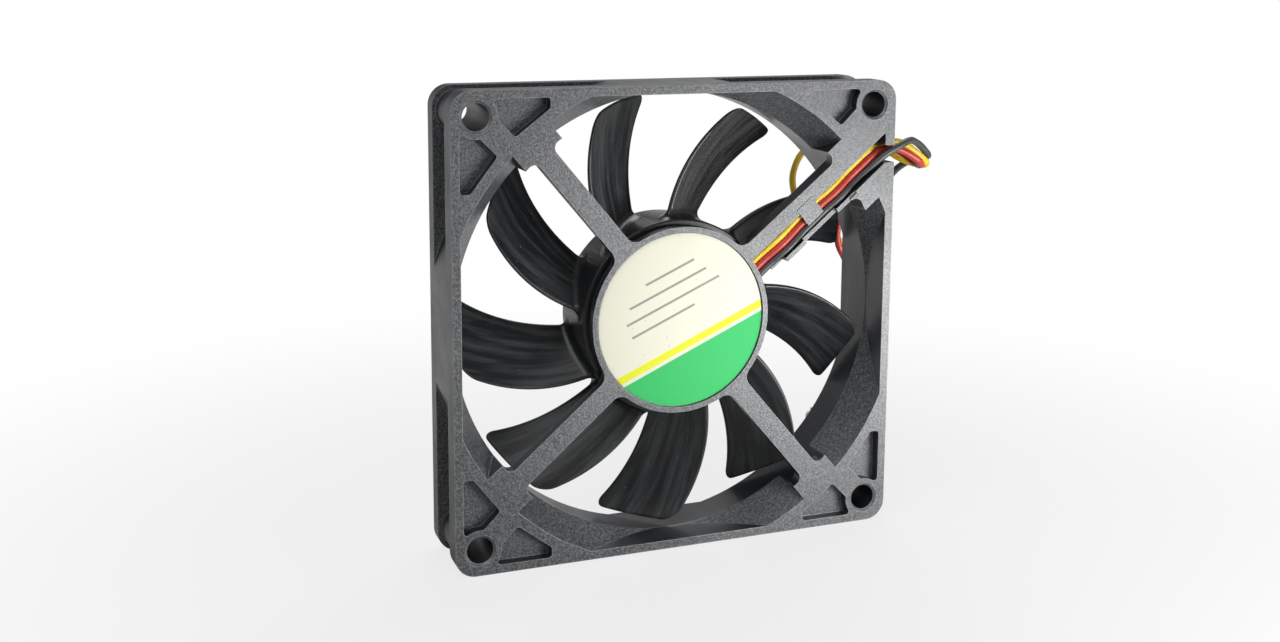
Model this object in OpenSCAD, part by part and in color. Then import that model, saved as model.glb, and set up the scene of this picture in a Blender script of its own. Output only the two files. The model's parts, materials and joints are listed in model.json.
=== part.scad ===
// Slim square case fan: moulded housing, nine-blade impeller, sleeve-bearing motor and three leads.
// Fan axes: x to the right, y up, z out of the front face. Depths count backwards from that face.
// stand() sets the fan upright: the front faces -Y and the lower edge lies on Z = 0.

/* [Frame] */
// Width and height of the square housing
frame_size = 80; // [78:0.5:84]
// Thickness of the housing from front face to back face
frame_depth = 15; // [15:0.5:20]
// Radius of the housing's outer corners
corner_radius = 3.5; // [2:0.1:4.2]
// Wall between the duct and the middle of each side
rail_wall = 1.5; // [1.2:0.1:2.4]
// Thickness of the front flange
front_flange = 3.8; // [3.2:0.1:4.6]
// Thickness of the back flange
back_flange = 3; // [2.4:0.1:4]
// Thickness of the round duct wall between the flanges
duct_wall = 2.7; // [2.2:0.1:3.2]
// How far the front funnel opens past the throat
funnel_reach = 3.4; // [2:0.1:3.8]
// Depth of the front funnel
funnel_depth = 6; // [4.5:0.1:7]
// How far the intake flare opens past the throat
intake_reach = 2; // [1:0.1:2.4]
// Depth of the intake flare
intake_depth = 2.6; // [1.5:0.1:3]

/* [Mounting holes] */
// Distance between neighbouring mounting holes
hole_spacing = 71.5; // [71:0.1:72.4]
// Diameter of the mounting holes
hole_dia = 4.5; // [4:0.1:4.8]
// Chamfer at both ends of the mounting holes
hole_chamfer = 0.4; // [0.2:0.05:0.6]
// Wall of the bosses around the mounting holes
boss_wall = 1.35; // [1.2:0.05:1.6]

/* [Corner pockets] */
// Depth of the corner pockets
pocket_depth = 1.9; // [1:0.1:2.6]
// Rim between a pocket and the side of the housing
pocket_rim = 1.45; // [1:0.05:2]
// Wall between a pocket and the mouth of the funnel
pocket_wall = 2; // [1.5:0.1:2.6]
// Width of the web along the corner diagonal
pocket_web = 4.2; // [3:0.1:5]
// Distance of a pocket's narrow end from the housing's side
pocket_reach = 16.5; // [12:0.5:18]
// Radius of the pockets' corners
pocket_round = 0.55; // [0.3:0.05:0.7]

/* [Struts] */
// Turn of the struts away from the corner diagonals, in degrees
strut_turn = 5; // [0:0.5:8]
// Width of a plain strut
strut_width = 3.6; // [2.8:0.1:4.4]
// Thickness of the struts at the frame
strut_thick = 2.2; // [2:0.05:2.4]
// Width of the tab that joins a strut to the frame
tab_width = 8; // [6:0.2:10]
// Fillet between a strut and its tab
tab_fillet = 1.3; // [0.6:0.1:1.8]
// Fillet between a strut and the motor base
root_fillet = 2; // [1:0.1:3]

/* [Motor base] */
// Diameter of the motor base
base_dia = 32.2; // [31.6:0.1:33]
// Depth of the base face behind the front face
base_drop = 0.6; // [0.4:0.05:0.8]
// Depth of the label recess
label_recess = 0.4; // [0.2:0.05:0.5]
// Diameter of the label
label_dia = 30; // [28:0.1:30.4]
// Gap between the label and the rim of its recess
label_gap = 0.15; // [0.05:0.05:0.3]
// Thickness of the label
label_thick = 0.12; // [0.06:0.02:0.18]

/* [Wire channel] */
// Diameter of an insulated lead
lead_dia = 1.3; // [1.1:0.05:1.4]
// Gap between neighbouring leads, and between a lead and the channel
lead_gap = 0.04; // [0.02:0.01:0.1]
// Offset of the channel from the middle of its strut
channel_offset = 1; // [0.8:0.1:1.4]
// Depth of the top of the leads behind the front face
lead_top = 1.05; // [1.02:0.01:1.2]
// Thickness of the channel's floor
channel_floor = 0.7; // [0.5:0.05:0.9]
// Distance from the fan's axis to the start of the channel's floor
floor_start = 18.2; // [18:0.1:20]
// Thickness of the channel's outer rail
rail_thick = 0.8; // [0.6:0.05:1.2]
// Distance from the fan's axis to the start of the outer rail
rail_start = 20.8; // [20:0.1:24]
// Start of the lowered stretch of the outer rail
rail_dip_start = 25.5; // [25:0.1:27]
// Length of the lowered stretch of the outer rail
rail_dip_length = 7.9; // [6:0.1:8.4]
// Drop of the lowered stretch of the outer rail
rail_dip = 1.2; // [0.6:0.1:1.6]
// Start of the bridge that holds the leads down
bridge_start = 27.6; // [26:0.1:29]
// Length of the bridge along the strut
bridge_length = 3.7; // [2.5:0.1:4.5]
// Reach of the bridge across the channel
bridge_reach = 2.6; // [1.5:0.1:3]
// Thickness of the bridge
bridge_thick = 0.85; // [0.6:0.05:0.95]
// Width of the wire strut's tab past the outer rail
wire_tab_extra = 3.2; // [2:0.1:4]
// Height of the notch where the leads leave the housing
notch_height = 3.1; // [3:0.05:3.3]
// Height of the middle of that notch above the fan's axis
notch_level = 27; // [26.9:0.05:27.1]
// Rim between the end of the channel and the side of the housing
lead_rim = 1.85; // [1.5:0.05:2.2]

/* [Impeller] */
// Number of blades
blade_count = 9; // [7:1:11]
// Diameter of the impeller's hub
hub_dia = 34; // [33.6:0.1:35]
// Depth of the hub's open front edge
hub_front = 3; // [2.9:0.05:3.4]
// Clearance between the hub's closed end and the back of the housing
hub_back_gap = 0.6; // [0.4:0.05:0.9]
// Thickness of the hub's closed end
hub_end = 1.3; // [1:0.1:1.6]
// Round on the edge of the hub's closed end
hub_round = 0.8; // [0.3:0.1:1]
// Clearance between the blade tips and the throat
tip_gap = 0.9; // [0.6:0.05:1.5]
// Angle that a blade covers at the hub
blade_wrap = 27; // [22:0.5:30]
// Sweep of the blade's front edge from hub to tip, in degrees
front_sweep = 18; // [14:0.5:20]
// Added curl of the front edge towards the tip, in degrees
front_curl = 4.3; // [2:0.1:6]
// Sweep of the blade's back edge from hub to tip, in degrees
back_sweep = 8.5; // [6:0.5:11]
// Added curl of the back edge towards the tip, in degrees
back_curl = 5.4; // [3:0.1:7]
// Depth of the blade's front edge at the hub
blade_front = 5; // [4.6:0.1:5.6]
// Further depth of the front edge at the tip
blade_front_drop = 0.7; // [0:0.1:1]
// Depth of the blade's back edge at the hub
blade_back = 12; // [11:0.1:12.4]
// Further depth of the back edge at the tip
blade_back_drop = 2.2; // [1:0.1:2.3]
// Bulge of a blade's section towards the intake
blade_camber = 0.7; // [0.2:0.1:1]
// Thickness of a blade at the hub
blade_root_thick = 1.3; // [1:0.05:1.6]
// Thickness of a blade at the tip
blade_tip_thick = 0.9; // [0.7:0.05:1.2]
// Radius of the blade's tip corners
blade_round = 2; // [1:0.1:3]
// Fillet between a blade and the hub
blade_fillet = 1.5; // [0.5:0.1:1.6]

/* [Motor] */
// Diameter of the shaft
shaft_dia = 2; // [1.8:0.1:2.4]
// Radial running clearance of the shaft
shaft_clearance = 0.03; // [0.01:0.01:0.06]
// Outer diameter of the sleeve bearing
bearing_dia = 5; // [4.6:0.1:5.4]
// Length of the sleeve bearing
bearing_length = 7.4; // [6:0.1:7.6]
// Clearance between the sleeve bearing and the oil slinger
slinger_gap = 0.45; // [0.3:0.05:0.8]
// Wall of the bearing tube
tube_wall = 0.9; // [0.7:0.05:1.1]
// Thickness of the cap that closes the bearing tube
cap_thick = 0.6; // [0.4:0.05:0.7]
// Thickness of the thrust pad
pad_thick = 0.3; // [0.2:0.05:0.35]
// End play between the thrust pad and the shaft
end_play = 0.05; // [0.02:0.01:0.1]
// Thickness of the rotor's steel yoke
yoke_wall = 0.8; // [0.6:0.05:0.9]
// Wall of the hub around the yoke
hub_wall = 1.5; // [1.2:0.05:1.7]
// Thickness of the magnet ring
magnet_wall = 1.4; // [1.2:0.05:1.6]
// Length of the magnet ring
magnet_length = 7; // [6:0.1:7.4]
// Clearance between the magnet ring and the yoke's closed end
magnet_end_gap = 1.3; // [0.8:0.1:1.7]
// Air gap between the stator and the magnet ring
air_gap = 0.4; // [0.3:0.05:0.5]
// Height of the lamination stack
stack_height = 3.4; // [3:0.1:3.6]
// Width of a stator arm
arm_width = 3.2; // [2.8:0.1:3.4]
// Thickness of the insulators on the stack
insulator_thick = 0.6; // [0.4:0.05:0.7]
// Build-up of the windings
winding_thick = 1; // [0.7:0.05:1.1]
// Diameter of the circuit board
board_dia = 24.8; // [24.4:0.1:25.2]
// Thickness of the circuit board
board_thick = 0.8; // [0.6:0.1:0.9]

/* [Hidden] */

$fn = 96;
// Overlap that keeps a cut from ending on a face
over = 1;
// Depth by which a joined piece runs into its neighbour
sink = 0.4;

half = frame_size / 2;
hole_at = hole_spacing / 2;
hole_r = hole_dia / 2;
boss_r = hole_r + boss_wall;
throat_r = half - rail_wall;
mouth_r = throat_r + funnel_reach;
intake_r = throat_r + intake_reach;
duct_r = throat_r + duct_wall;
base_r = base_dia / 2;
label_r = label_dia / 2;
label_floor = base_drop + label_recess;

// Struts, seen from the front, and the one that carries the leads
wire_strut_angle = 45 - strut_turn;
plain_strut_angles = [for (k = [1:3]) wire_strut_angle + 90 * k];

// Leads and their channel, measured to the right of the wire strut's middle line
lead_r = lead_dia / 2;
lead_pitch = lead_dia + lead_gap;
lead_depth = lead_top + lead_r;
lead_start = 12;
lead_reach = [4.5, 3.5, 2.5];
lead_end = [for (reach = lead_reach) throat_r + reach];
channel_width = 2 * lead_pitch + lead_dia + 2 * lead_gap;
channel_far = channel_offset + channel_width;
channel_bed = lead_top + lead_dia + lead_gap;
channel_under = channel_bed + channel_floor;
rail_far = channel_far + rail_thick;
core_r = 0.3;
core_reach = 1.1;
window_room = 1;
rail_drop = base_drop / 2;
rail_dip_end = rail_dip_start + rail_dip_length;
bridge_drop = rail_drop / 2;
bridge_end = bridge_start + bridge_length;
window_start = lead_start - core_reach - window_room;

// Depths of the motor's parts, from front to back
board_standoff = 0.6;
board_front = strut_thick + board_standoff;
board_back = board_front + board_thick;
winding_room = 0.4;
winding_front = board_back + winding_room;
insulator_front = winding_front + winding_thick;
stack_front = insulator_front + insulator_thick;
stack_back = stack_front + stack_height;
insulator_back = stack_back + insulator_thick;
winding_back = insulator_back + winding_thick;
hub_back = frame_depth - hub_back_gap;
hub_floor = hub_back - hub_end;
yoke_front = hub_front + sink;
yoke_floor = hub_floor - yoke_wall;
magnet_back = yoke_floor - magnet_end_gap;
magnet_front = magnet_back - magnet_length;
bearing_inset = 0.2;
bearing_front = board_front + bearing_inset;
bearing_back = bearing_front + bearing_length;
tube_end = bearing_back + bearing_inset;
slinger_thick = 0.25;
slinger_front = bearing_back + slinger_gap;
boss_front = slinger_front + slinger_thick;
boss_seat = 0.6;
boss_back = hub_floor + boss_seat;
cap_back = label_floor + cap_thick;
pad_back = cap_back + pad_thick;
shaft_front = pad_back + end_play;
clip_thick = 0.3;
clip_gap = 0.3;
clip_front = bearing_front - clip_gap - clip_thick;

// Radii of the motor's parts
shaft_r = shaft_dia / 2;
bearing_r = bearing_dia / 2;
tube_r = bearing_r + tube_wall;
hub_r = hub_dia / 2;
yoke_r = hub_r - hub_wall;
magnet_r = yoke_r - yoke_wall;
magnet_bore_r = magnet_r - magnet_wall;
core_outer_r = magnet_bore_r - air_gap;
pole_count = 4;
shoe_thick = 1.4;
shoe_slot = 14;
core_ring_wall = 2.2;
core_ring_r = tube_r + core_ring_wall;
sleeve_wall = 0.3;
winding_inner_r = core_ring_r + sleeve_wall;
winding_outer_r = core_outer_r - shoe_thick - sleeve_wall;
pad_gap = 0.3;
pad_r = bearing_r - pad_gap;
boss_side = 1.6;
boss_outer_r = shaft_r + boss_side;
slinger_reach = 1.2;
slinger_r = shaft_r + slinger_reach;
groove_depth = 0.25;
clip_reach = 0.9;
clip_r = shaft_r + clip_reach;
board_r = board_dia / 2;
standoff_r = 1;
standoff_at = board_r - 3 * standoff_r;
standoff_angles = [100, 190, 280];
pin_r = 0.3;
pin_at = core_outer_r - shoe_thick + pin_r;
pin_angles = [70, 160, 250];
hole_fit = 0.05;

// Blocks on the circuit board, each between two stator arms: width, length and height
board_ring_r = (core_ring_r + core_outer_r) / 2;
sensor_size = [1.2, 3, 1.2];
sensor_angle = 315;
sensor_shift = 1.6;
chip_size = [3, 4, 1.1];
chip_angle = 135;
capacitor_size = [1.6, 3, 0.8];
capacitor_shift = -1;
resistor_size = [0.8, 1.6, 0.5];
resistor_shift = 1.2;
parts_angle = 225;

// Blades
tip_r = throat_r - tip_gap;
blade_root_r = hub_r - hub_wall / 2;
blade_chord_steps = 8;
blade_span_steps = 5;
blade_root_angles = [14, 32, 56, 90];
blade_root_inset = 0.06;
blade_tip_angles = [30, 60, 84];
blade_edge_share = 0.4;

// Coil of the leads' spare length, in the upright part's own axes
coil_at = [43.5, 18.2];
coil_inner_r = 3.5;
coil_outer_r = 9.3;
coil_bottom = 0.3;
coil_top = 6.1;
coil_round = 1.4;
tie_width = 2.4;
tie_thick = 0.3;
tie_gap = 0.02;

// Connector at the end of the leads
connector_at = [54.2, 30.3];
connector_size = [8.4, 11.6, 4.6];
contact_pitch = 2.54;
contact_size = 1.7;
contact_wall = 0.3;
contact_length = 7;
contact_inset = 1.2;
contact_slack = 0.1;
wire_entry = 2;
wire_entry_r = lead_r + lead_gap;
key_width = 1.2;
key_height = 0.7;
key_start = 3.5;

// Routes of the free leads, by hand, each from the wire channel to the top of the coil
route_yellow = [
    [35.2, -5.55, 67.25], [36.5, -4.8, 67.75], [38, -4, 67.85], [39.6, -3.4, 67.85], [41.2, -3, 68.2],
    [42.8, -2.85, 68.45], [44.4, -2.9, 68.1], [46.1, -3, 67.1], [48.1, -2.9, 65.7], [49.8, -2.1, 64.5],
    [50.8, -0.6, 63.75], [50.7, 1.2, 63.5], [49.5, 2.9, 63.8], [47.8, 4.5, 64.7], [46, 6.7, 66.4],
    [44.8, 10.2, 67.9], [43, 14, 68.3], [39.8, 17.2, 67.4], [36, 18, 65], [33.7, 18, 61.7],
    [33.4, 18, 57.6], [35.2, 17.6, 53.8], [38.2, 16.4, 50.8], [41.2, 14.6, 48], [43.4, 13, 44.4],
    [44.4, 11.9, 39.6], [44.66, 11.4, 33], [44.66, 11.36, coil_top]
];
route_red = [
    [35, -5.75, 65.35], [36.9, -5.6, 66.68], [39.2, -5.2, 67.5], [41.4, -5, 67.6], [43.5, -4.95, 66.9],
    [45.5, -5, 65.8], [47.2, -4.5, 64.75], [48.2, -3, 64], [48.45, -1, 64.05], [47.8, 1, 65.1],
    [46.5, 2.9, 66.2], [45.2, 4.8, 66.1], [44, 6.8, 63.9], [42.6, 8.8, 60.4], [40.9, 10, 56.2],
    [39.4, 10.5, 51.8], [39.4, 10.9, 48.1], [41.4, 11.1, 44.1], [43.7, 10.4, 38.8], [44.66, 9.85, 30],
    [44.66, 9.84, coil_top]
];
route_black = [
    [35.4, -6, 64], [37.2, -6.45, 65.6], [38.9, -6.75, 66.95], [41, -6.85, 68], [42.8, -6.4, 68.7],
    [44.6, -5.4, 68.9], [46.3, -4.2, 68.4], [47.95, -3.3, 67.55], [49.5, -2.4, 66.45], [50.9, -1.2, 65.5],
    [51.6, 0.6, 65], [51.3, 2.7, 64.6], [50.1, 5, 63.4], [48.5, 7.6, 60.7], [47, 9.7, 56],
    [46.1, 10.6, 48], [45.98, 10.6, 36], [45.98, 10.6, coil_top]
];
tail_yellow = [[51.4, 24.7, 3], [51.6, 27.3, 2.8], [51.66, 30.3, 2.3], [51.66, 31.5, 2.3]];
tail_red = [[51.3, 24.8, 1.25], [52.4, 26.7, 1.4], [53.8, 28.6, 2], [54.2, 29.9, 2.3], [54.2, 31.5, 2.3]];
tail_black = [
    [52.7, 23.3, 1.25], [54.3, 26.1, 1.35], [55.9, 28.1, 1.9], [56.74, 29.9, 2.3], [56.74, 31.5, 2.3]
];
lead_sides = 8;

module stand() {
    translate([0, -frame_depth / 2, half])
        rotate([90, 0, 0])
            children();
}

// Prism of a flat outline between two depths
module slab(front, back) {
    translate([0, 0, -back])
        linear_extrude(back - front)
            children();
}

// Round bar or disc between two depths
module bar(r, front, back) {
    translate([0, 0, -back])
        cylinder(r = r, h = back - front);
}

// Ring between two depths
module ring(outer_r, inner_r, front, back) {
    difference() {
        bar(outer_r, front, back);
        bar(inner_r, front - over, back + over);
    }
}

// Cone that opens from one radius to another between two depths
module funnel(front_r, back_r, front, back) {
    translate([0, 0, -back])
        cylinder(r1 = back_r, r2 = front_r, h = back - front);
}

module rounded_square(size, r) {
    square([size - 2 * r, size], center = true);
    square([size, size - 2 * r], center = true);
    for (x = [-1, 1], y = [-1, 1])
        translate([x * (size / 2 - r), y * (size / 2 - r)])
            circle(r);
}

module at_holes() {
    for (x = [-1, 1], y = [-1, 1])
        translate([x * hole_at, y * hole_at])
            children();
}

// Strip along a strut, from one radius to another and between two offsets to the left of its line
module strip(angle, from, to, right, left) {
    rotate(angle)
        translate([from, right])
            square([to - from, left - right]);
}

// Concave corner that blends a strut's side, at the given offset, into the round motor base
module root_corner(offset, r) {
    middle_u = sqrt(pow(base_r + r, 2) - pow(offset + r, 2));
    touch = base_r / (base_r + r);
    difference() {
        polygon([
            [0, 0],
            [middle_u, 0],
            [middle_u, offset + r],
            [middle_u * touch, (offset + r) * touch]
        ]);
        translate([middle_u, offset + r])
            circle(r);
    }
}

// Concave corner that blends a strut's side into the end of its tab
module tab_corner(offset, r) {
    end_u = sqrt(pow(throat_r, 2) - pow(offset + r, 2));
    difference() {
        translate([end_u - r, offset - sink])
            square([r + sink, r + sink]);
        translate([end_u - r, offset + r])
            circle(r);
    }
}

// Outline of one plain strut with its fillets, along the x axis
module strut_outline() {
    translate([0, -strut_width / 2])
        square([throat_r + sink, strut_width]);
    for (side = [0, 1])
        mirror([0, side]) {
            root_corner(strut_width / 2, root_fillet);
            tab_corner(strut_width / 2, tab_fillet);
        }
}

// Outline of the solid part of the wire strut, along the x axis
module wire_strut_outline() {
    translate([0, -channel_offset])
        square([throat_r + sink, strut_width / 2 + channel_offset]);
    root_corner(strut_width / 2, root_fillet);
    tab_corner(strut_width / 2, tab_fillet);
}

// Everything that the front funnel leaves standing where the struts join the frame
module tab_outlines() {
    for (angle = plain_strut_angles)
        strip(angle, throat_r - over, 2 * half, -tab_width / 2, tab_width / 2);
    strip(wire_strut_angle, throat_r - over, 2 * half, -rail_far - wire_tab_extra, tab_width / 2);
}

// One of the two pockets of the upper right corner, above its diagonal
module pocket_outline() {
    offset(r = pocket_round, $fn = 24)
        offset(delta = -pocket_round)
            difference() {
                translate([half - pocket_reach, 0])
                    square([pocket_reach - pocket_rim, half - pocket_rim]);
                circle(mouth_r + pocket_wall);
                translate([hole_at, hole_at])
                    circle(boss_r);
                rotate(45)
                    translate([0, -half])
                        square([2 * half, half + pocket_web / 2]);
            }
}

// Pockets of all corners, except the one whose place the leads take
module pocket_outlines() {
    for (corner = [0:3])
        rotate(90 * corner) {
            pocket_outline();
            if (corner > 0)
                mirror([1, -1])
                    pocket_outline();
        }
}

// Space at the end of the channel, between its sides and the rim of the housing
module lead_pocket_outline() {
    intersection() {
        strip(wire_strut_angle, throat_r - over, 2 * half, -channel_far, -channel_offset);
        translate([-half, -half])
            square([2 * half - lead_rim, 2 * half]);
    }
}

// Square tube with flanges, duct and bosses, before anything is cut out
module housing_blank() {
    slab(0, front_flange)
        rounded_square(frame_size, corner_radius);
    slab(frame_depth - back_flange, frame_depth)
        rounded_square(frame_size, corner_radius);
    intersection() {
        bar(duct_r, 0, frame_depth);
        slab(0, frame_depth)
            square(frame_size, center = true);
    }
    at_holes()
        bar(boss_r, 0, frame_depth);
}

// Air path: throat, front funnel with its tabs left standing, and intake flare
module duct_cut() {
    slope = funnel_reach / funnel_depth;
    intake_slope = intake_reach / intake_depth;
    intake_front = frame_depth - intake_depth;
    bar(throat_r, -over, frame_depth + over);
    difference() {
        intersection() {
            funnel(mouth_r + slope * over, throat_r, -over, funnel_depth);
            slab(-2 * over, funnel_depth + over)
                square(2 * throat_r, center = true);
        }
        slab(-3 * over, funnel_depth + 2 * over)
            tab_outlines();
    }
    intersection() {
        funnel(throat_r, intake_r + intake_slope * over, intake_front, frame_depth + over);
        slab(intake_front - over, frame_depth + 2 * over)
            square(2 * throat_r, center = true);
    }
}

module hole_cuts() {
    at_holes() {
        bar(hole_r, -over, frame_depth + over);
        funnel(hole_r + hole_chamfer + over, hole_r, -over, hole_chamfer);
        funnel(hole_r, hole_r + hole_chamfer + over, frame_depth - hole_chamfer, frame_depth + over);
    }
}

// Struts and motor base: a flat outline whose front slopes from the frame down to the base
module spider() {
    intersection() {
        slab(-over, strut_thick) {
            circle(base_r);
            for (angle = plain_strut_angles)
                rotate(angle)
                    strut_outline();
            rotate(wire_strut_angle)
                wire_strut_outline();
        }
        rotate_extrude()
            polygon([
                [0, -base_drop],
                [base_r, -base_drop],
                [throat_r, 0],
                [throat_r + over, 0],
                [throat_r + over, -strut_thick - over],
                [0, -strut_thick - over]
            ]);
    }
}

// Floor, outer rail and hold-down bridge of the wire channel
module channel_walls() {
    rail_end = throat_r + sink;
    slab(channel_bed, channel_under)
        strip(wire_strut_angle, floor_start, rail_end, -rail_far, -channel_offset + sink);
    slab(strut_thick - over, channel_under)
        strip(wire_strut_angle, floor_start, rail_end, -channel_offset, strut_width / 2);
    slab(rail_dip, channel_under)
        strip(wire_strut_angle, rail_dip_start, rail_dip_end, -rail_far, -channel_far);
    slab(rail_drop, channel_under) {
        strip(wire_strut_angle, rail_start, rail_dip_start, -rail_far, -channel_far);
        strip(wire_strut_angle, rail_dip_end, rail_end, -rail_far, -channel_far);
    }
    slab(0, channel_under)
        rotate(wire_strut_angle)
            mirror([0, 1])
                tab_corner(rail_far, tab_fillet);
    slab(bridge_drop, bridge_thick)
        strip(wire_strut_angle, bridge_start, bridge_end, -channel_offset - bridge_reach, 0);
}

// Channel through the tab and the flange, the pocket behind it and the notch in the rim
module channel_cuts() {
    slab(-over, channel_bed)
        strip(wire_strut_angle, throat_r - over, duct_r + 2 * over, -channel_far, -channel_offset);
    slab(-over, front_flange + over)
        difference() {
            lead_pocket_outline();
            circle(duct_r + over);
        }
    slab(-over, front_flange + over)
        translate([half - lead_rim - over, notch_level - notch_height / 2])
            square([lead_rim + 2 * over, notch_height]);
}

// Way for the leads from the channel under the base's rim to the circuit board
module lead_window() {
    slab(label_floor, strut_thick + over)
        strip(wire_strut_angle, window_start, base_r + over, -channel_far, -channel_offset);
}

// Tube that holds the bearing, and the posts that the circuit board rests on
module bearing_tube() {
    bar(tube_r, strut_thick - sink, tube_end);
    for (angle = standoff_angles)
        rotate(angle)
            translate([standoff_at, 0])
                bar(standoff_r, strut_thick - sink, board_front);
}

module housing() {
    color("#2b2d30")
        stand()
            difference() {
                union() {
                    difference() {
                        housing_blank();
                        duct_cut();
                    }
                    spider();
                    channel_walls();
                    bearing_tube();
                }
                hole_cuts();
                slab(-over, pocket_depth)
                    pocket_outlines();
                channel_cuts();
                lead_window();
                bar(label_r + label_gap, -over, label_floor);
                bar(bearing_r, -over, tube_end + over);
            }
}

module label() {
    color("#efeddc")
        stand()
            bar(label_r, label_floor - label_thick, label_floor);
}

module bearing_cap() {
    color("#303236")
        stand()
            bar(bearing_r, label_floor, cap_back);
}

module thrust_pad() {
    color("#e8e4d4")
        stand()
            bar(pad_r, cap_back, pad_back);
}

module sleeve_bearing() {
    color("#a8804a")
        stand()
            ring(bearing_r, shaft_r + shaft_clearance, bearing_front, bearing_back);
}

// Outline of the laminations: ring, arms and pole shoes
module core_outline() {
    difference() {
        union() {
            circle(core_ring_r);
            for (pole = [0:pole_count - 1])
                rotate(360 / pole_count * pole)
                    translate([0, -arm_width / 2])
                        square([core_outer_r - shoe_thick / 2, arm_width]);
            difference() {
                circle(core_outer_r);
                circle(core_outer_r - shoe_thick);
                for (pole = [0:pole_count - 1])
                    rotate(360 / pole_count * (pole + 0.5))
                        slot_outline();
            }
        }
        circle(tube_r);
    }
}

// Wedge between two neighbouring pole shoes
module slot_outline() {
    reach = 2 * core_outer_r;
    polygon([
        [0, 0],
        [reach, -reach * tan(shoe_slot / 2)],
        [reach, reach * tan(shoe_slot / 2)]
    ]);
}

// Outline of the insulation around the stator arms
module arm_sleeve_outline() {
    for (pole = [0:pole_count - 1])
        rotate(360 / pole_count * pole)
            translate([core_ring_r, -arm_width / 2 - sleeve_wall])
                square([core_outer_r - shoe_thick - core_ring_r, arm_width + 2 * sleeve_wall]);
}

module stator_core() {
    color("#8d9196")
        stand()
            slab(stack_front, stack_back)
                core_outline();
}

// One half of the stator's insulation: an end plate and sleeves that reach the middle of the stack
module insulator(plate_front, plate_back, sleeve_front, sleeve_back) {
    slab(plate_front, plate_back) {
        core_outline();
        difference() {
            arm_sleeve_outline();
            circle(tube_r);
        }
    }
    slab(sleeve_front, sleeve_back)
        difference() {
            arm_sleeve_outline();
            core_outline();
        }
}

module front_insulator() {
    color("#f0efe6")
        stand()
            insulator(insulator_front, stack_front, insulator_front, (stack_front + stack_back) / 2);
}

module back_insulator() {
    color("#f0efe6")
        stand()
            insulator(stack_back, insulator_back, (stack_front + stack_back) / 2, insulator_back);
}

module windings() {
    inner = arm_width + 2 * sleeve_wall;
    long = winding_outer_r - winding_inner_r;
    color("#b4622d")
        stand()
            for (pole = [0:pole_count - 1])
                rotate(360 / pole_count * pole)
                    difference() {
                        slab(winding_front, winding_back)
                            intersection() {
                                translate([winding_inner_r, -inner / 2 - winding_thick])
                                    square([long, inner + 2 * winding_thick]);
                                circle(winding_outer_r);
                            }
                        slab(insulator_front, insulator_back)
                            translate([winding_inner_r - over, -inner / 2])
                                square([long + 2 * over, inner]);
                    }
}

module terminal_pins() {
    color("#c9ccd0")
        stand()
            for (angle = pin_angles)
                rotate(angle)
                    translate([pin_at, 0])
                        bar(pin_r, board_front - board_standoff / 2, insulator_front);
}

// Places of the bare lead ends on the circuit board
module at_lead_ends() {
    rotate(wire_strut_angle)
        for (k = [0:2])
            translate([lead_start - core_reach, -lead_offset(k)])
                children();
}

module circuit_board() {
    color("#2f6b46")
        stand()
            difference() {
                ring(board_r, tube_r + hole_fit, board_front, board_back);
                for (angle = pin_angles)
                    rotate(angle)
                        translate([pin_at, 0])
                            bar(pin_r + hole_fit, board_front - over, board_back + over);
                at_lead_ends()
                    bar(core_r + hole_fit, board_front - over, board_back + over);
            }
}

// Small block on the back of the circuit board
module on_board(angle, r, size) {
    stand()
        rotate(angle)
            translate([r, 0])
                slab(board_back, board_back + size[2])
                    square([size[0], size[1]], center = true);
}

module hall_sensor() {
    color("#1d1d1f")
        on_board(sensor_angle, board_ring_r + sensor_shift, sensor_size);
}

module driver_chip() {
    color("#1d1d1f")
        on_board(chip_angle, board_ring_r, chip_size);
}

module board_parts() {
    color("#8a6a4a") {
        on_board(parts_angle, board_ring_r + capacitor_shift, capacitor_size);
        on_board(parts_angle, board_ring_r + resistor_shift, resistor_size);
        on_board(sensor_angle, board_ring_r - resistor_shift, resistor_size);
    }
}

// Distance of lead k from the wire strut's middle line: yellow, red, black from the inside out
function lead_offset(k) = channel_offset + lead_gap + lead_r + k * lead_pitch;

module lead_cores() {
    color("#c9b27a")
        stand()
            at_lead_ends() {
                bar(core_r, lead_depth - core_r, board_back);
                translate([0, 0, -lead_depth])
                    rotate([0, 90, 0])
                        cylinder(r = core_r, h = core_reach);
            }
}

// Stretch of one lead that lies in the wire channel
module held_lead(k) {
    stand()
        rotate(wire_strut_angle)
            translate([lead_start, -lead_offset(k), -lead_depth])
                rotate([0, 90, 0])
                    cylinder(r = lead_r, h = lead_end[k] - lead_start);
}

module lead_yellow() {
    color("#f2cf1d")
        held_lead(0);
}

module lead_red() {
    color("#c8352b")
        held_lead(1);
}

module lead_black() {
    color("#3a3b3d")
        held_lead(2);
}

// Point of a held lead's end face, in the upright part's axes
function held_end(k) =
    let (
        u = lead_end[k],
        x = u * cos(wire_strut_angle) + lead_offset(k) * sin(wire_strut_angle),
        y = u * sin(wire_strut_angle) - lead_offset(k) * cos(wire_strut_angle)
    )
    [x, lead_depth - frame_depth / 2, half + y];

function unit(v) = v / norm(v);

// Directions along a route, with given directions at its two ends
function route_directions(route, first, last) = [
    for (i = [0:len(route) - 1])
        i == 0 ? first : i == len(route) - 1 ? last : unit(route[i + 1] - route[i - 1])
];

// Side vectors carried along a route without twisting
function carried(directions, side, i = 0) =
    let (here = unit(side - (side * directions[i]) * directions[i]))
    i == len(directions) - 1 ? [here] : concat([here], carried(directions, here, i + 1));

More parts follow.
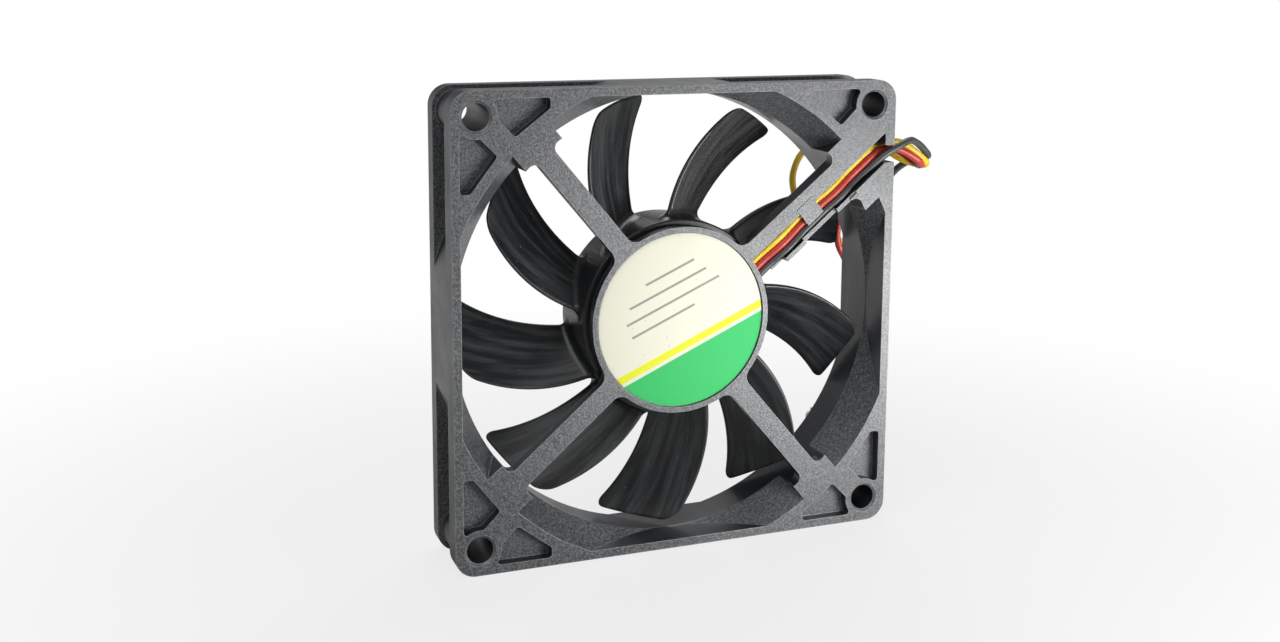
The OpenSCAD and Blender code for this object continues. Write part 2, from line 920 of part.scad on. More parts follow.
// Tube along a route: rings of points joined by triangles, with flat ends
module tube(route, first, last) {
    directions = route_directions(route, first, last);
    sides = carried(directions, [0, 0, 1]);
    n = lead_sides;
    end_ring = (len(route) - 1) * n;
    points = [
        for (i = [0:len(route) - 1], j = [0:n - 1])
            let (across = cross(directions[i], sides[i]), turn = 360 / n * j)
            route[i] + lead_r * (cos(turn) * sides[i] + sin(turn) * across)
    ];
    walls = [
        for (i = [0:len(route) - 2], j = [0:n - 1], half_quad = [0, 1])
            let (a = i * n + j, b = i * n + (j + 1) % n)
            half_quad == 0 ? [a, a + n, b] : [b, a + n, b + n]
    ];
    ends = [
        [for (j = [0:n - 1]) j],
        [for (j = [0:n - 1]) end_ring + n - 1 - j]
    ];
    polyhedron(points, concat(walls, ends));
}

// A free lead: from the channel to the coil, and from the coil to the connector
module free_lead(k, route, tail) {
    along = [cos(wire_strut_angle), 0, sin(wire_strut_angle)];
    tube(concat([held_end(k)], route), along, [0, 0, -1]);
    tube(tail, unit(tail[1] - tail[0]), [0, 1, 0]);
}

module cord_yellow() {
    color("#f2cf1d")
        free_lead(0, route_yellow, tail_yellow);
}

module cord_red() {
    color("#c8352b")
        free_lead(1, route_red, tail_red);
}

module cord_black() {
    color("#3a3b3d")
        free_lead(2, route_black, tail_black);
}

// Outer shape of the coiled leads, grown by a gap
module coil_solid(gap) {
    width = coil_outer_r - coil_inner_r + 2 * gap;
    height = coil_top - coil_bottom + 2 * gap;
    translate([coil_at[0], coil_at[1], 0])
        rotate_extrude()
            translate([(coil_inner_r + coil_outer_r) / 2, (coil_bottom + coil_top) / 2]) {
                square([width - 2 * coil_round, height], center = true);
                square([width, height - 2 * coil_round], center = true);
                for (x = [-1, 1], y = [-1, 1])
                    translate([x * (width / 2 - coil_round), y * (height / 2 - coil_round)])
                        circle(coil_round, $fn = 32);
            }
}

module cord_coil() {
    color("#8a7a2a")
        coil_solid(0);
}

module coil_tie() {
    long = coil_outer_r - coil_inner_r + 2 * tie_thick;
    height = coil_top - coil_bottom + 2 * tie_thick;
    left = coil_at[0] - coil_outer_r - tie_thick;
    color("#1f2022")
        difference() {
            translate([left, coil_at[1] - tie_width / 2, coil_bottom - tie_thick])
                cube([long, tie_width, height]);
            coil_solid(tie_gap);
        }
}

module connector_housing() {
    width = connector_size[0];
    long = connector_size[1];
    height = connector_size[2];
    cavity = contact_size + 2 * contact_slack;
    color("#e9e6da")
        translate([connector_at[0], connector_at[1], 0])
            difference() {
                union() {
                    translate([-width / 2, 0, 0])
                        cube([width, long, height]);
                    for (x = [-1, 1])
                        translate([x * contact_pitch - key_width / 2, key_start, height - sink])
                            cube([key_width, long - key_start, key_height + sink]);
                }
                for (k = [-1:1])
                    translate([k * contact_pitch, 0, height / 2]) {
                        translate([-cavity / 2, wire_entry, -cavity / 2])
                            cube([cavity, long, cavity]);
                        translate([0, -over, 0])
                            rotate([-90, 0, 0])
                                cylinder(r = wire_entry_r, h = wire_entry + 2 * over, $fn = 32);
                    }
            }
}

module connector_contacts() {
    inner = contact_size - 2 * contact_wall;
    color("#c9b27a")
        translate([connector_at[0], connector_at[1], connector_size[2] / 2])
            for (k = [-1:1])
                translate([k * contact_pitch, wire_entry + contact_slack, 0])
                    difference() {
                        translate([-contact_size / 2, 0, -contact_size / 2])
                            cube([contact_size, contact_length, contact_size]);
                        translate([-inner / 2, contact_inset, -inner / 2])
                            cube([inner, contact_length, inner]);
                    }
}

// Edges of a blade at a radius: angle and depth, in front and at the back
function span_share(r) = (r - hub_r) / (tip_r - hub_r);
function front_angle(s) = blade_wrap / 2 - front_sweep * s - front_curl * s * s;
function back_angle(s) = -blade_wrap / 2 - back_sweep * s - back_curl * s * s;
function front_depth(s) = blade_front + blade_front_drop * s;
function back_depth(s) = blade_back + blade_back_drop * s;
function mix(a, b, t) = a + (b - a) * t;

// Arc length and depth of a blade's middle surface at radius r, with t from the front edge to the back
function blade_middle(r, t) =
    let (s = span_share(r))
    [
        mix(front_angle(s), back_angle(s), t) * r * PI / 180,
        mix(front_depth(s), back_depth(s), t) + blade_camber * 4 * t * (1 - t)
    ];

// How far the rounded tip corners pull the edges in at radius r, as a share of the chord
function corner_pull(r) =
    let (
        q = max(0, (r - tip_r + blade_round) / blade_round),
        chord = norm(blade_middle(tip_r, 1) - blade_middle(tip_r, 0))
    )
    blade_round * (1 - sqrt(1 - q * q)) / chord;

// How far the fillet at the hub swells a blade at radius r
function root_flare(r) =
    let (out = min(blade_fillet, max(0, r - hub_r)))
    blade_fillet - sqrt(pow(blade_fillet, 2) - pow(blade_fillet - out, 2));

function blade_thick(r, t) =
    let (edge = blade_edge_share + (1 - blade_edge_share) * sqrt(4 * t * (1 - t)))
    mix(blade_root_thick, blade_tip_thick, span_share(r)) * edge;

// Round end of the swelling, from 0 on the edge to 1 at one flare's distance from it
function flare_end(flare, distance) =
    let (left = flare > 0 ? max(0, 1 - distance / flare) : 0)
    sqrt(1 - left * left);

// Point of a blade's surface: side is 1 towards the front and -1 towards the intake
function blade_point(r, t, side) =
    let (
        flare = root_flare(r),
        chord = norm(blade_middle(r, 1) - blade_middle(r, 0)),
        inset = corner_pull(r) - flare / chord,
        at = mix(inset, 1 - inset, t),
        step = 0.01,
        middle = blade_middle(r, at),
        along = unit(blade_middle(r, at + step) - blade_middle(r, at - step)),
        distance = min(t, 1 - t) * (chord + 2 * flare),
        out = side * (blade_thick(r, t) / 2 + flare * flare_end(flare, distance)),
        arc = middle[0] - along[1] * out,
        depth = middle[1] + along[0] * out,
        angle = arc / r * 180 / PI
    )
    [r * cos(angle), r * sin(angle), -depth];

// Shares of the chord, closer together towards the edges
function chord_share(j) = (1 - cos(180 * j / blade_chord_steps)) / 2;

blade_radii = concat(
    [blade_root_r, hub_r - blade_root_inset],
    [for (angle = blade_root_angles) hub_r + blade_fillet * (1 - cos(angle))],
    [for (i = [1:blade_span_steps]) mix(hub_r + blade_fillet, tip_r - blade_round, i / blade_span_steps)],
    [for (angle = blade_tip_angles) tip_r - blade_round + blade_round * sin(angle)]
);

// One blade: sections at growing radii, each a loop round its front and intake sides
module blade() {
    c = blade_chord_steps;
    loop = 2 * (c + 1);
    last = (len(blade_radii) - 1) * loop;
    points = [
        for (r = blade_radii, j = [0:loop - 1])
            j <= c ? blade_point(r, chord_share(j), 1) : blade_point(r, chord_share(loop - 1 - j), -1)
    ];
    walls = [
        for (i = [0:len(blade_radii) - 2], j = [0:loop - 1], half_quad = [0, 1])
            let (a = i * loop + j, b = i * loop + (j + 1) % loop)
            half_quad == 0 ? [a, a + loop, b] : [b, a + loop, b + loop]
    ];
    root = [
        for (j = [0:c - 1], half_quad = [0, 1])
            let (a = j, b = loop - 1 - j)
            half_quad == 0 ? [a, a + 1, b] : [a + 1, b - 1, b]
    ];
    tip = [
        for (j = [0:c - 1], half_quad = [0, 1])
            let (a = last + j, b = last + loop - 1 - j)
            half_quad == 0 ? [a, b, a + 1] : [a + 1, b, b - 1]
    ];
    polyhedron(points, concat(walls, root, tip));
}

// Revolved cup of the hub, with a rounded edge at its closed end
module hub_cup() {
    rotate_extrude() {
        difference() {
            union() {
                translate([0, -hub_back + hub_round])
                    square([hub_r, hub_back - hub_front - hub_round]);
                translate([0, -hub_back])
                    square([hub_r - hub_round, hub_back - hub_front]);
                translate([hub_r - hub_round, -hub_back + hub_round])
                    circle(hub_round);
            }
            translate([-over, -hub_floor])
                square([yoke_r + over, hub_floor]);
            translate([-over, -boss_back])
                square([boss_outer_r + over, boss_seat + over]);
        }
    }
}

module impeller() {
    color("#1d1e21")
        stand() {
            hub_cup();
            for (k = [0:blade_count - 1])
                rotate(-360 / blade_count * k)
                    blade();
        }
}

module rotor_yoke() {
    color("#9aa0a6")
        stand() {
            ring(yoke_r, magnet_r, yoke_front, hub_floor);
            ring(yoke_r, boss_outer_r, yoke_floor, hub_floor);
        }
}

module magnet_ring() {
    color("#4a4540")
        stand()
            ring(magnet_r, magnet_bore_r, magnet_front, magnet_back);
}

module shaft() {
    color("#c4c8cc")
        stand()
            difference() {
                bar(shaft_r, shaft_front, boss_back);
                ring(2 * shaft_r, shaft_r - groove_depth, clip_front, clip_front + clip_thick);
            }
}

module shaft_boss() {
    color("#b9923f")
        stand()
            ring(boss_outer_r, shaft_r, boss_front, boss_back);
}

module oil_slinger() {
    color("#d8d2c0")
        stand()
            ring(slinger_r, shaft_r, slinger_front, boss_front);
}

module retaining_clip() {
    slot = shaft_r;
    color("#b8bcc0")
        stand()
            difference() {
                ring(clip_r, shaft_r - groove_depth, clip_front, clip_front + clip_thick);
                slab(clip_front - over, clip_front + clip_thick + over)
                    translate([0, -slot / 2])
                        square([2 * clip_r, slot]);
            }
}

housing();
label();
bearing_cap();
thrust_pad();
sleeve_bearing();
stator_core();
front_insulator();
back_insulator();
windings();
terminal_pins();
circuit_board();
hall_sensor();
driver_chip();
board_parts();
lead_cores();
lead_yellow();
lead_red();
lead_black();
cord_yellow();
cord_red();
cord_black();
cord_coil();
coil_tie();
connector_housing();
connector_contacts();
impeller();
rotor_yoke();
magnet_ring();
shaft();
shaft_boss();
oil_slinger();
retaining_clip();
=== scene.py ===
# Slim case fan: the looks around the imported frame
import json
import math

import bmesh
import bpy
from mathutils import Euler, Matrix, Vector


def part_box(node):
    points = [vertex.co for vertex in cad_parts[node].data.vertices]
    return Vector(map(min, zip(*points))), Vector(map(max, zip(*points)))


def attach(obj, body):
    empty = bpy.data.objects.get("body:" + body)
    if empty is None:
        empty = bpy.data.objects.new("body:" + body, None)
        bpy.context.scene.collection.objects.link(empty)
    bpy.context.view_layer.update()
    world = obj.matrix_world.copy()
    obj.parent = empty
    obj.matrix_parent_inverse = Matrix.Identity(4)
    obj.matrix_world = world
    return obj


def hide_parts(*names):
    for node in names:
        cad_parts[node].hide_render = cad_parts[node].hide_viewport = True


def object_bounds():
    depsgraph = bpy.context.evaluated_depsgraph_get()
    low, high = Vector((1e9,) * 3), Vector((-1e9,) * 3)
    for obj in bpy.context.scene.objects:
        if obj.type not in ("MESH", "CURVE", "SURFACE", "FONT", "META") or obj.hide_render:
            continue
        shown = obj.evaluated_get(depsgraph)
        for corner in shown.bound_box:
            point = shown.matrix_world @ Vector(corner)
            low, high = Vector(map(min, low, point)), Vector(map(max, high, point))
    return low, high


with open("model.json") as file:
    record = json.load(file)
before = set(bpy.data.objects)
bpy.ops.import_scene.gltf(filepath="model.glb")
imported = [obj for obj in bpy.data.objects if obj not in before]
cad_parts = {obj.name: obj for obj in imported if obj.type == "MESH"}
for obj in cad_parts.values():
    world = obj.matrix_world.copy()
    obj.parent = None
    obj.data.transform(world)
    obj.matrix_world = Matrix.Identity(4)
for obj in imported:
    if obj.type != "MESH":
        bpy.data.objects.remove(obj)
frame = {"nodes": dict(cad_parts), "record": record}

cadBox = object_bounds()
nodes = frame["nodes"]
mm = 0.001
near = 0.01 * mm                         # two places closer than this are the same
weld = 0.002 * mm                        # vertices closer than this are merged

# places that everything else is measured from
housingLow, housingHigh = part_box("housing")
frontY = housingLow.y
fanAxis = (housingLow + housingHigh) / 2
housingSize = [round(size / mm, 2) for size in housingHigh - housingLow]
print("frame loaded:", len(nodes), "nodes, housing", housingSize, "mm")


def deselectAll():
    if bpy.context.object and bpy.context.object.mode != "OBJECT":
        bpy.ops.object.mode_set(mode="OBJECT")
    bpy.ops.object.select_all(action="DESELECT")


def makeActive(piece):
    deselectAll()
    piece.select_set(True)
    bpy.context.view_layer.objects.active = piece


# names what an add operator has just made and moves its place into the mesh
def settle(name):
    piece = bpy.context.object
    piece.name = name
    piece.data.name = name
    bpy.ops.object.transform_apply(location=True, rotation=True, scale=True)
    return piece


# faces or edges of the mesh in edit mode that pass a test
def pick(piece, kind, test):
    bpy.ops.mesh.select_mode(type={"faces": "FACE", "edges": "EDGE"}[kind])
    bpy.ops.mesh.select_all(action="DESELECT")
    shape = bmesh.from_edit_mesh(piece.data)
    count = 0
    for part in getattr(shape, kind):
        if test(part):
            part.select_set(True)
            count += 1
    shape.select_flush_mode()
    bmesh.update_edit_mesh(piece.data)
    return count


def smoothByAngle(piece, degrees):
    makeActive(piece)
    bpy.ops.object.shade_smooth_by_angle(angle=math.radians(degrees))


# piece that rides on a body and stands for a node
def standFor(piece, body, node):
    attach(piece, body)
    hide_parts(node)


# camera where the photographer stood
cameraSet = {
    "place": (-95.4, -230.4, 99.2),      # mm
    "turn": 21.24,                       # degrees to the right of straight ahead
    "dip": 8.53,                         # degrees downwards
    "roll": 0.33,                        # degrees
    "lens": 41.3,                        # mm, as are the sensor's width and the nearest thing that is drawn
    "sensor": 36.0,
    "nearest": 5.0,
    "lensAxis": (636.2, 187.3),          # pixel where the lens axis meets the picture
    "picture": (1280, 642),
}


def addCamera(s):
    bpy.ops.object.camera_add()
    camera = bpy.context.object
    camera.name = "photoCamera"
    camera.location = Vector(s["place"]) * mm
    level = Euler((math.radians(90 - s["dip"]), 0, -math.radians(s["turn"])))
    rolled = level.to_matrix() @ Matrix.Rotation(math.radians(s["roll"]), 3, "Z")
    camera.rotation_euler = rolled.to_euler()
    camera.data.lens = s["lens"]
    camera.data.sensor_width = s["sensor"]
    camera.data.sensor_fit = "HORIZONTAL"
    width, height = s["picture"]
    camera.data.shift_x = (width / 2 - s["lensAxis"][0]) / width
    camera.data.shift_y = (s["lensAxis"][1] - height / 2) / width
    camera.data.clip_start = s["nearest"] * mm
    bpy.context.scene.camera = camera


deselectAll()
addCamera(cameraSet)
bpy.context.scene.view_settings.view_transform = "Standard"
print("camera placed")

# leads, in mm: held in the wire channel along a strut, then free
leadSet = {
    "radius": 0.65,
    "sides": 3,                          # bevel resolution of the round section
    "steps": 5,                          # between two points of a route
    "strutAngle": 40.0,                  # degrees
    "heldStart": 12.0,                   # along the strut
    "heldSteps": 30,
    "heldDepth": 1.7,                    # behind the front face
    "bows": [(17.5, 27.4, 0.55), (31.5, 39.5, 0.45)],   # stretches along the strut that bow out, and how far
}

# each lead: offset across the strut, end along it, turn in the bundle in degrees and free length in m, then
# its free points as in the part, from the channel to above the coil and from the coil to the connector
leads = {
    "Yellow": {
        "offset": 1.69, "heldEnd": 43.0, "turn": 240.0, "length": 0.2585,
        "route": [
            (35.2, -5.55, 67.25), (36.5, -4.8, 67.75), (38, -4, 67.85), (39.6, -3.4, 67.85),
            (41.2, -3, 68.2), (42.8, -2.85, 68.45), (44.4, -2.9, 68.1), (46.1, -3, 67.1),
            (48.1, -2.9, 65.7), (49.8, -2.1, 64.5), (50.8, -0.6, 63.75), (50.7, 1.2, 63.5),
            (49.5, 2.9, 63.8), (47.8, 4.5, 64.7), (46, 6.7, 66.4), (44.8, 10.2, 67.9), (43, 14, 68.3),
            (39.8, 17.2, 67.4), (36, 18, 65), (33.7, 18, 61.7), (33.4, 18, 57.6), (35.2, 17.6, 53.8),
            (38.2, 16.4, 50.8), (41.2, 14.6, 48), (43.4, 13, 44.4), (44.4, 11.9, 39.6), (44.66, 11.4, 33),
        ],
        "tail": [(51.4, 24.7, 3), (51.6, 27.3, 2.8), (51.66, 30.3, 2.3), (51.66, 31.5, 2.3)],
    },
    "Red": {
        "offset": 3.03, "heldEnd": 42.0, "turn": 120.0, "length": 0.2385,
        "route": [
            (35, -5.75, 65.35), (36.9, -5.6, 66.68), (39.2, -5.2, 67.5), (41.4, -5, 67.6),
            (43.5, -4.95, 66.9), (45.5, -5, 65.8), (47.2, -4.5, 64.75), (48.2, -3, 64), (48.45, -1, 64.05),
            (47.8, 1, 65.1), (46.5, 2.9, 66.2), (45.2, 4.8, 66.1), (44, 6.8, 63.9), (42.6, 8.8, 60.4),
            (40.9, 10, 56.2), (39.4, 10.5, 51.8), (39.4, 10.9, 48.1), (41.4, 11.1, 44.1),
            (43.7, 10.4, 38.8), (44.66, 9.85, 30),
        ],
        "tail": [
            (51.1, 24.5, 1.25), (52.4, 26.7, 1.4), (53.8, 28.6, 2), (54.2, 29.9, 2.3), (54.2, 31.5, 2.3),
        ],
    },
    "Black": {
        "offset": 4.37, "heldEnd": 41.0, "turn": 0.0, "length": 0.2357,
        "route": [
            (35.4, -6, 64), (37.2, -6.45, 65.6), (38.9, -6.75, 66.95), (41, -6.85, 68), (42.8, -6.4, 68.7),
            (44.6, -5.4, 68.9), (46.3, -4.2, 68.4), (47.95, -3.3, 67.55), (49.5, -2.4, 66.45),
            (50.9, -1.2, 65.5), (51.6, 0.6, 65), (51.3, 2.7, 64.6), (50.1, 5, 63.4), (48.5, 7.6, 60.7),
            (47, 9.7, 56), (46.1, 10.6, 48), (45.98, 10.6, 36),
        ],
        "tail": [
            (52.8, 24.4, 1.2), (54.3, 26.2, 1.35), (55.9, 28.1, 1.9), (56.74, 29.9, 2.3),
            (56.74, 31.5, 2.3),
        ],
    },
}

# spare length: the three leads lie together in two layers of two turns
coilSet = {
    "centre": (43.5, 18.2),
    "drop": [(45.1, 10.6, 13), (45.1, 10.6, 10.2), (45.2, 10.6, 8.4), (45.6, 10.6, 6.8),
             (46.5, 10.75, 5.6), (47.7, 11.35, 4.9)],
    "stations": [                        # angle, radius and height of the bundle's middle
        (-42, 7.85, 4.65), (150, 7.85, 4.65), (245, 4.95, 4.65), (400, 4.95, 4.65),
        (510, 4.95, 1.75), (735, 4.95, 1.75), (840, 7.85, 1.75), (1080, 7.85, 1.75),
    ],
    "step": 20,
    "leave": [(51.35, 20.3, 1.75), (51.35, 22.5, 1.75)],
    "dropSpread": 0.88,                  # distance of a lead from the bundle's middle
    "coilSpread": 0.78,
    "twists": 6.315,
}


def blendStations(stations, angle):
    for (a, r0, z0), (b, r1, z1) in zip(stations, stations[1:]):
        if angle <= b:
            share = (angle - a) / (b - a)
            ease = share * share * (3 - 2 * share)
            return r0 + (r1 - r0) * ease, z0 + (z1 - z0) * ease
    return stations[-1][1:]


def bundleMiddle(s):
    points = [Vector(p) for p in s["drop"]]
    first, last = s["stations"][0][0], s["stations"][-1][0]
    count = round((last - first) / s["step"])
    for i in range(count + 1):
        angle = first + (last - first) * i / count
        radius, height = blendStations(s["stations"], angle)
        turn = math.radians(angle)
        points.append(Vector((s["centre"][0] + radius * math.cos(turn),
                              s["centre"][1] + radius * math.sin(turn), height)))
    points += [Vector(p) for p in s["leave"]]
    return points


# one lead of the twisted bundle: the side vector is carried along the middle line without turning
def bundleLead(s, turn):
    middle = bundleMiddle(s)
    reach = [0.0]
    for a, b in zip(middle, middle[1:]):
        reach.append(reach[-1] + (b - a).length)
    side = Vector((1, 0, 0))
    points = []
    for i, point in enumerate(middle):
        ahead = (middle[min(i + 1, len(middle) - 1)] - middle[max(i - 1, 0)]).normalized()
        side = (side - ahead * side.dot(ahead)).normalized()
        share = reach[i] / reach[-1]
        angle = math.radians(turn + 360 * s["twists"] * share)
        settleIn = min(1.0, i / len(s["drop"]))
        spread = s["dropSpread"] + (s["coilSpread"] - s["dropSpread"]) * settleIn
        points.append(point + spread * (math.cos(angle) * side + math.sin(angle) * ahead.cross(side)))
    return points


# point on a held lead, a distance along the wire strut; between its ends and the bridge it bows out
def heldPoint(lead, along):
    turn = math.radians(leadSet["strutAngle"])
    rise = 0.0
    for start, end, height in leadSet["bows"]:
        if start < along < end:
            rise = height * math.sin(math.pi * (along - start) / (end - start)) ** 2
    x = along * math.cos(turn) + lead["offset"] * math.sin(turn)
    up = along * math.sin(turn) - lead["offset"] * math.cos(turn)
    return Vector((fanAxis.x / mm + x, frontY / mm + leadSet["heldDepth"] - rise, fanAxis.z / mm + up))


def addTube(name, points):
    curve = bpy.data.curves.new(name, "CURVE")
    curve.dimensions = "3D"
    curve.bevel_depth = 1.0
    curve.bevel_resolution = leadSet["sides"]
    curve.resolution_u = leadSet["steps"]
    curve.use_fill_caps = True
    spline = curve.splines.new("BEZIER")
    spline.bezier_points.add(len(points) - 1)
    for knot, point in zip(spline.bezier_points, points):
        knot.co = Vector(point) * mm
        knot.radius = leadSet["radius"] * mm
        knot.handle_left_type = "AUTO"
        knot.handle_right_type = "AUTO"
    tube = bpy.data.objects.new(name, curve)
    bpy.context.scene.collection.objects.link(tube)
    return tube


leadTubes = {}
for colour, lead in leads.items():
    slotName = "lead_" + colour.lower()   # also the name of the held node
    count = leadSet["heldSteps"]
    span = lead["heldEnd"] - leadSet["heldStart"]
    held = addTube("heldLead" + colour,
                   [heldPoint(lead, leadSet["heldStart"] + span * i / count) for i in range(count + 1)])
    standFor(held, "stator", slotName)
    route = [heldPoint(lead, lead["heldEnd"])] + lead["route"]
    route += bundleLead(coilSet, lead["turn"]) + lead["tail"]
    free = addTube("freeLead" + colour, route)
    standFor(free, "stator", "cord_" + colour.lower())
    leadTubes[colour] = (held, free)
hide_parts("cord_coil")
print("leads laid")


# shader nodes: a node with its settings and plain input values
def addNode(tree, kind, inputs=None, **settings):
    made = tree.nodes.new(kind)
    for name, value in settings.items():
        setattr(made, name, value)
    for name, value in (inputs or {}).items():
        made.inputs[name].default_value = value
    return made


# a socket gets a link from another node, or a plain value
def feed(tree, socket, value):
    if isinstance(value, bpy.types.NodeSocket):
        tree.links.new(value, socket)
    else:
        socket.default_value = value


def math2(tree, operation, a, b=None, clamp=False):
    made = addNode(tree, "ShaderNodeMath", operation=operation, use_clamp=clamp)
    feed(tree, made.inputs[0], a)
    if b is not None:
        feed(tree, made.inputs[1], b)
    return made.outputs[0]


def times(tree, a, b):
    return math2(tree, "MULTIPLY", a, b)


# value carried from one range to another and kept inside it
def rangeOf(tree, value, low, high, toLow=0.0, toHigh=1.0, smooth=False):
    made = addNode(tree, "ShaderNodeMapRange",
                   {"From Min": low, "From Max": high, "To Min": toLow, "To Max": toHigh},
                   interpolation_type="SMOOTHSTEP" if smooth else "LINEAR")
    tree.links.new(value, made.inputs["Value"])
    return made.outputs["Result"]


def mixColour(tree, share, a, b):
    made = addNode(tree, "ShaderNodeMix", data_type="RGBA")
    feed(tree, made.inputs[0], share)
    for socket, value in ((made.inputs[6], a), (made.inputs[7], b)):
        feed(tree, socket, (*value, 1.0) if isinstance(value, tuple) else value)
    return made.outputs[2]


def bump(tree, height, distance, normal=None):
    made = addNode(tree, "ShaderNodeBump", {"Strength": 1.0, "Distance": distance})
    tree.links.new(height, made.inputs["Height"])
    if normal is not None:
        tree.links.new(normal, made.inputs["Normal"])
    return made.outputs["Normal"]


def noise(tree, vector, scale, detail=2.0, roughness=0.5):
    made = addNode(tree, "ShaderNodeTexNoise", {"Scale": scale, "Detail": detail, "Roughness": roughness})
    tree.links.new(vector, made.inputs["Vector"])
    return made.outputs["Fac"]


def objectCoords(tree):
    return addNode(tree, "ShaderNodeTexCoord").outputs["Object"]


def mapped(tree, vector, inputs):
    made = addNode(tree, "ShaderNodeMapping", inputs)
    tree.links.new(vector, made.inputs["Vector"])
    return made.outputs["Vector"]


def axesOf(tree, vector):
    made = addNode(tree, "ShaderNodeSeparateXYZ")
    tree.links.new(vector, made.inputs[0])
    return made.outputs


def newMaterial(name, **plain):
    material = bpy.data.materials.new(name)
    material.use_nodes = True
    tree = material.node_tree
    tree.nodes.clear()
    output = addNode(tree, "ShaderNodeOutputMaterial")
    shader = addNode(tree, "ShaderNodeBsdfPrincipled")
    tree.links.new(shader.outputs["BSDF"], output.inputs["Surface"])
    for label, value in plain.items():
        shader.inputs[label].default_value = value
    return material, tree, shader


def setSurface(tree, shader, colour, rough, normal):
    tree.links.new(colour, shader.inputs["Base Color"])
    tree.links.new(rough, shader.inputs["Roughness"])
    tree.links.new(normal, shader.inputs["Normal"])


# group with a place and named values going in, and named values coming out
def newGroup(name, inputs, outputs):
    group = bpy.data.node_groups.new(name, "ShaderNodeTree")
    group.interface.new_socket("Vector", in_out="INPUT", socket_type="NodeSocketVector")
    for label in inputs:
        group.interface.new_socket(label, in_out="INPUT", socket_type="NodeSocketFloat")
    for label in outputs:
        group.interface.new_socket(label, in_out="OUTPUT", socket_type="NodeSocketFloat")
    return group, addNode(group, "NodeGroupInput"), addNode(group, "NodeGroupOutput")


# texture inside a group, at the group's place and scaled by one of its values
def groupTexture(group, given, kind, scale, inputs=None):
    made = addNode(group, kind, inputs)
    group.links.new(given.outputs["Vector"], made.inputs["Vector"])
    group.links.new(given.outputs[scale], made.inputs["Scale"])
    return made.outputs


# one channel of the random colour of a texture's cells
def cellTone(group, cells, channel):
    split = addNode(group, "ShaderNodeSeparateColor")
    group.links.new(cells["Color"], split.inputs["Color"])
    return split.outputs[channel]


# outputs of a group, with plain values in the order of its inputs
def useGroup(tree, group, place, *values):
    made = addNode(tree, "ShaderNodeGroup", node_tree=group)
    tree.links.new(place, made.inputs["Vector"])
    for socket, value in zip(made.inputs[1:], values):
        socket.default_value = value
    return made.outputs


# spark-eroded grain of a mould: rough height, and painted glints where the odd facet would catch the light
grainAndGlintSet = {
    "detail": 3.0,
    "roughness": 0.7,
    # cells and speckle that turn bright are painted glints
    "glintTone": (0.6, 1.0),             # random tones between which a cell turns bright
    "glintSize": (0.15, 0.5),            # distances from its middle between which it fades
    "glintCellShare": 0.45,
    "speckle": (0.4, 0.68),              # heights between which the speckle sets in
    "speckleShare": 0.8,
}


def makeGrainAndGlintGroup(s):
    group, given, result = newGroup("mouldGrain", ["Scale"], ["Height", "Facets"])
    rough = groupTexture(group, given, "ShaderNodeTexNoise", "Scale",
                         {"Detail": s["detail"], "Roughness": s["roughness"]})["Fac"]
    cells = groupTexture(group, given, "ShaderNodeTexVoronoi", "Scale")
    bright = rangeOf(group, cellTone(group, cells, "Red"), *s["glintTone"])
    centre = rangeOf(group, cells["Distance"], *s["glintSize"], 1.0, 0.0)
    glintCells = times(group, times(group, bright, centre), s["glintCellShare"])
    speckle = times(group, rangeOf(group, rough, *s["speckle"]), s["speckleShare"])
    group.links.new(math2(group, "ADD", glintCells, speckle, clamp=True), result.inputs["Facets"])
    group.links.new(rough, result.inputs["Height"])
    return group


# edges lightened by handling wear and by painted highlight: where a rounded normal leaves the true one
edgeWearAndHighlightSet = {
    "samples": 8,
    "bend": (0.999, 0.93),               # cosines of the angle between both normals, from no edge to full
    "patchScale": 900.0,
    "patchDetail": 3.0,
    "patches": (0.35, 0.65),             # noise between which the rubbing sets in
}


def makeEdgeWearAndHighlightGroup(s):
    group, given, result = newGroup("rubbedEdges", ["Radius", "Break Up"], ["Mask"])
    rounded = addNode(group, "ShaderNodeBevel", samples=s["samples"])
    group.links.new(given.outputs["Radius"], rounded.inputs["Radius"])
    true = addNode(group, "ShaderNodeNewGeometry")
    same = addNode(group, "ShaderNodeVectorMath", operation="DOT_PRODUCT")
    group.links.new(rounded.outputs["Normal"], same.inputs[0])
    group.links.new(true.outputs["Normal"], same.inputs[1])
    edge = rangeOf(group, same.outputs["Value"], *s["bend"])
    patch = noise(group, given.outputs["Vector"], s["patchScale"], s["patchDetail"])
    gone = math2(group, "SUBTRACT", 1.0, rangeOf(group, patch, *s["patches"]))
    kept = math2(group, "SUBTRACT", 1.0, times(group, gone, given.outputs["Break Up"]))
    group.links.new(times(group, edge, kept), result.inputs["Mask"])
    return group


# handled surface: broad patches of more or less gloss, and a few grains of dust
handlingSet = {
    "detail": 4.0,
    "roughness": 0.6,
    "patches": (0.3, 0.7),               # noise between which a patch sets in
    "dustTone": (0.965, 0.975),          # random tones between which a cell holds a grain
    "dustSize": (0.08, 0.16),            # distances from its middle between which the grain ends
}


def makeHandlingGroup(s):
    group, given, result = newGroup("handling", ["Scale", "Dust Scale"], ["Patches", "Dust"])
    broad = groupTexture(group, given, "ShaderNodeTexNoise", "Scale",
                         {"Detail": s["detail"], "Roughness": s["roughness"]})["Fac"]
    cells = groupTexture(group, given, "ShaderNodeTexVoronoi", "Dust Scale")
    few = rangeOf(group, cellTone(group, cells, "Green"), *s["dustTone"])
    small = rangeOf(group, cells["Distance"], *s["dustSize"], 1.0, 0.0)
    group.links.new(rangeOf(group, broad, *s["patches"]), result.inputs["Patches"])
    group.links.new(times(group, few, small), result.inputs["Dust"])
    return group


# value between two ends that follows the patches of a handled surface
def byPatches(tree, handled, low, high):
    return rangeOf(tree, handled["Patches"], 0.0, 1.0, low, high)


grainAndGlintGroup = makeGrainAndGlintGroup(grainAndGlintSet)
edgeWearAndHighlightGroup = makeEdgeWearAndHighlightGroup(edgeWearAndHighlightSet)
handlingGroup = makeHandlingGroup(handlingSet)
print("shared finishes ready")

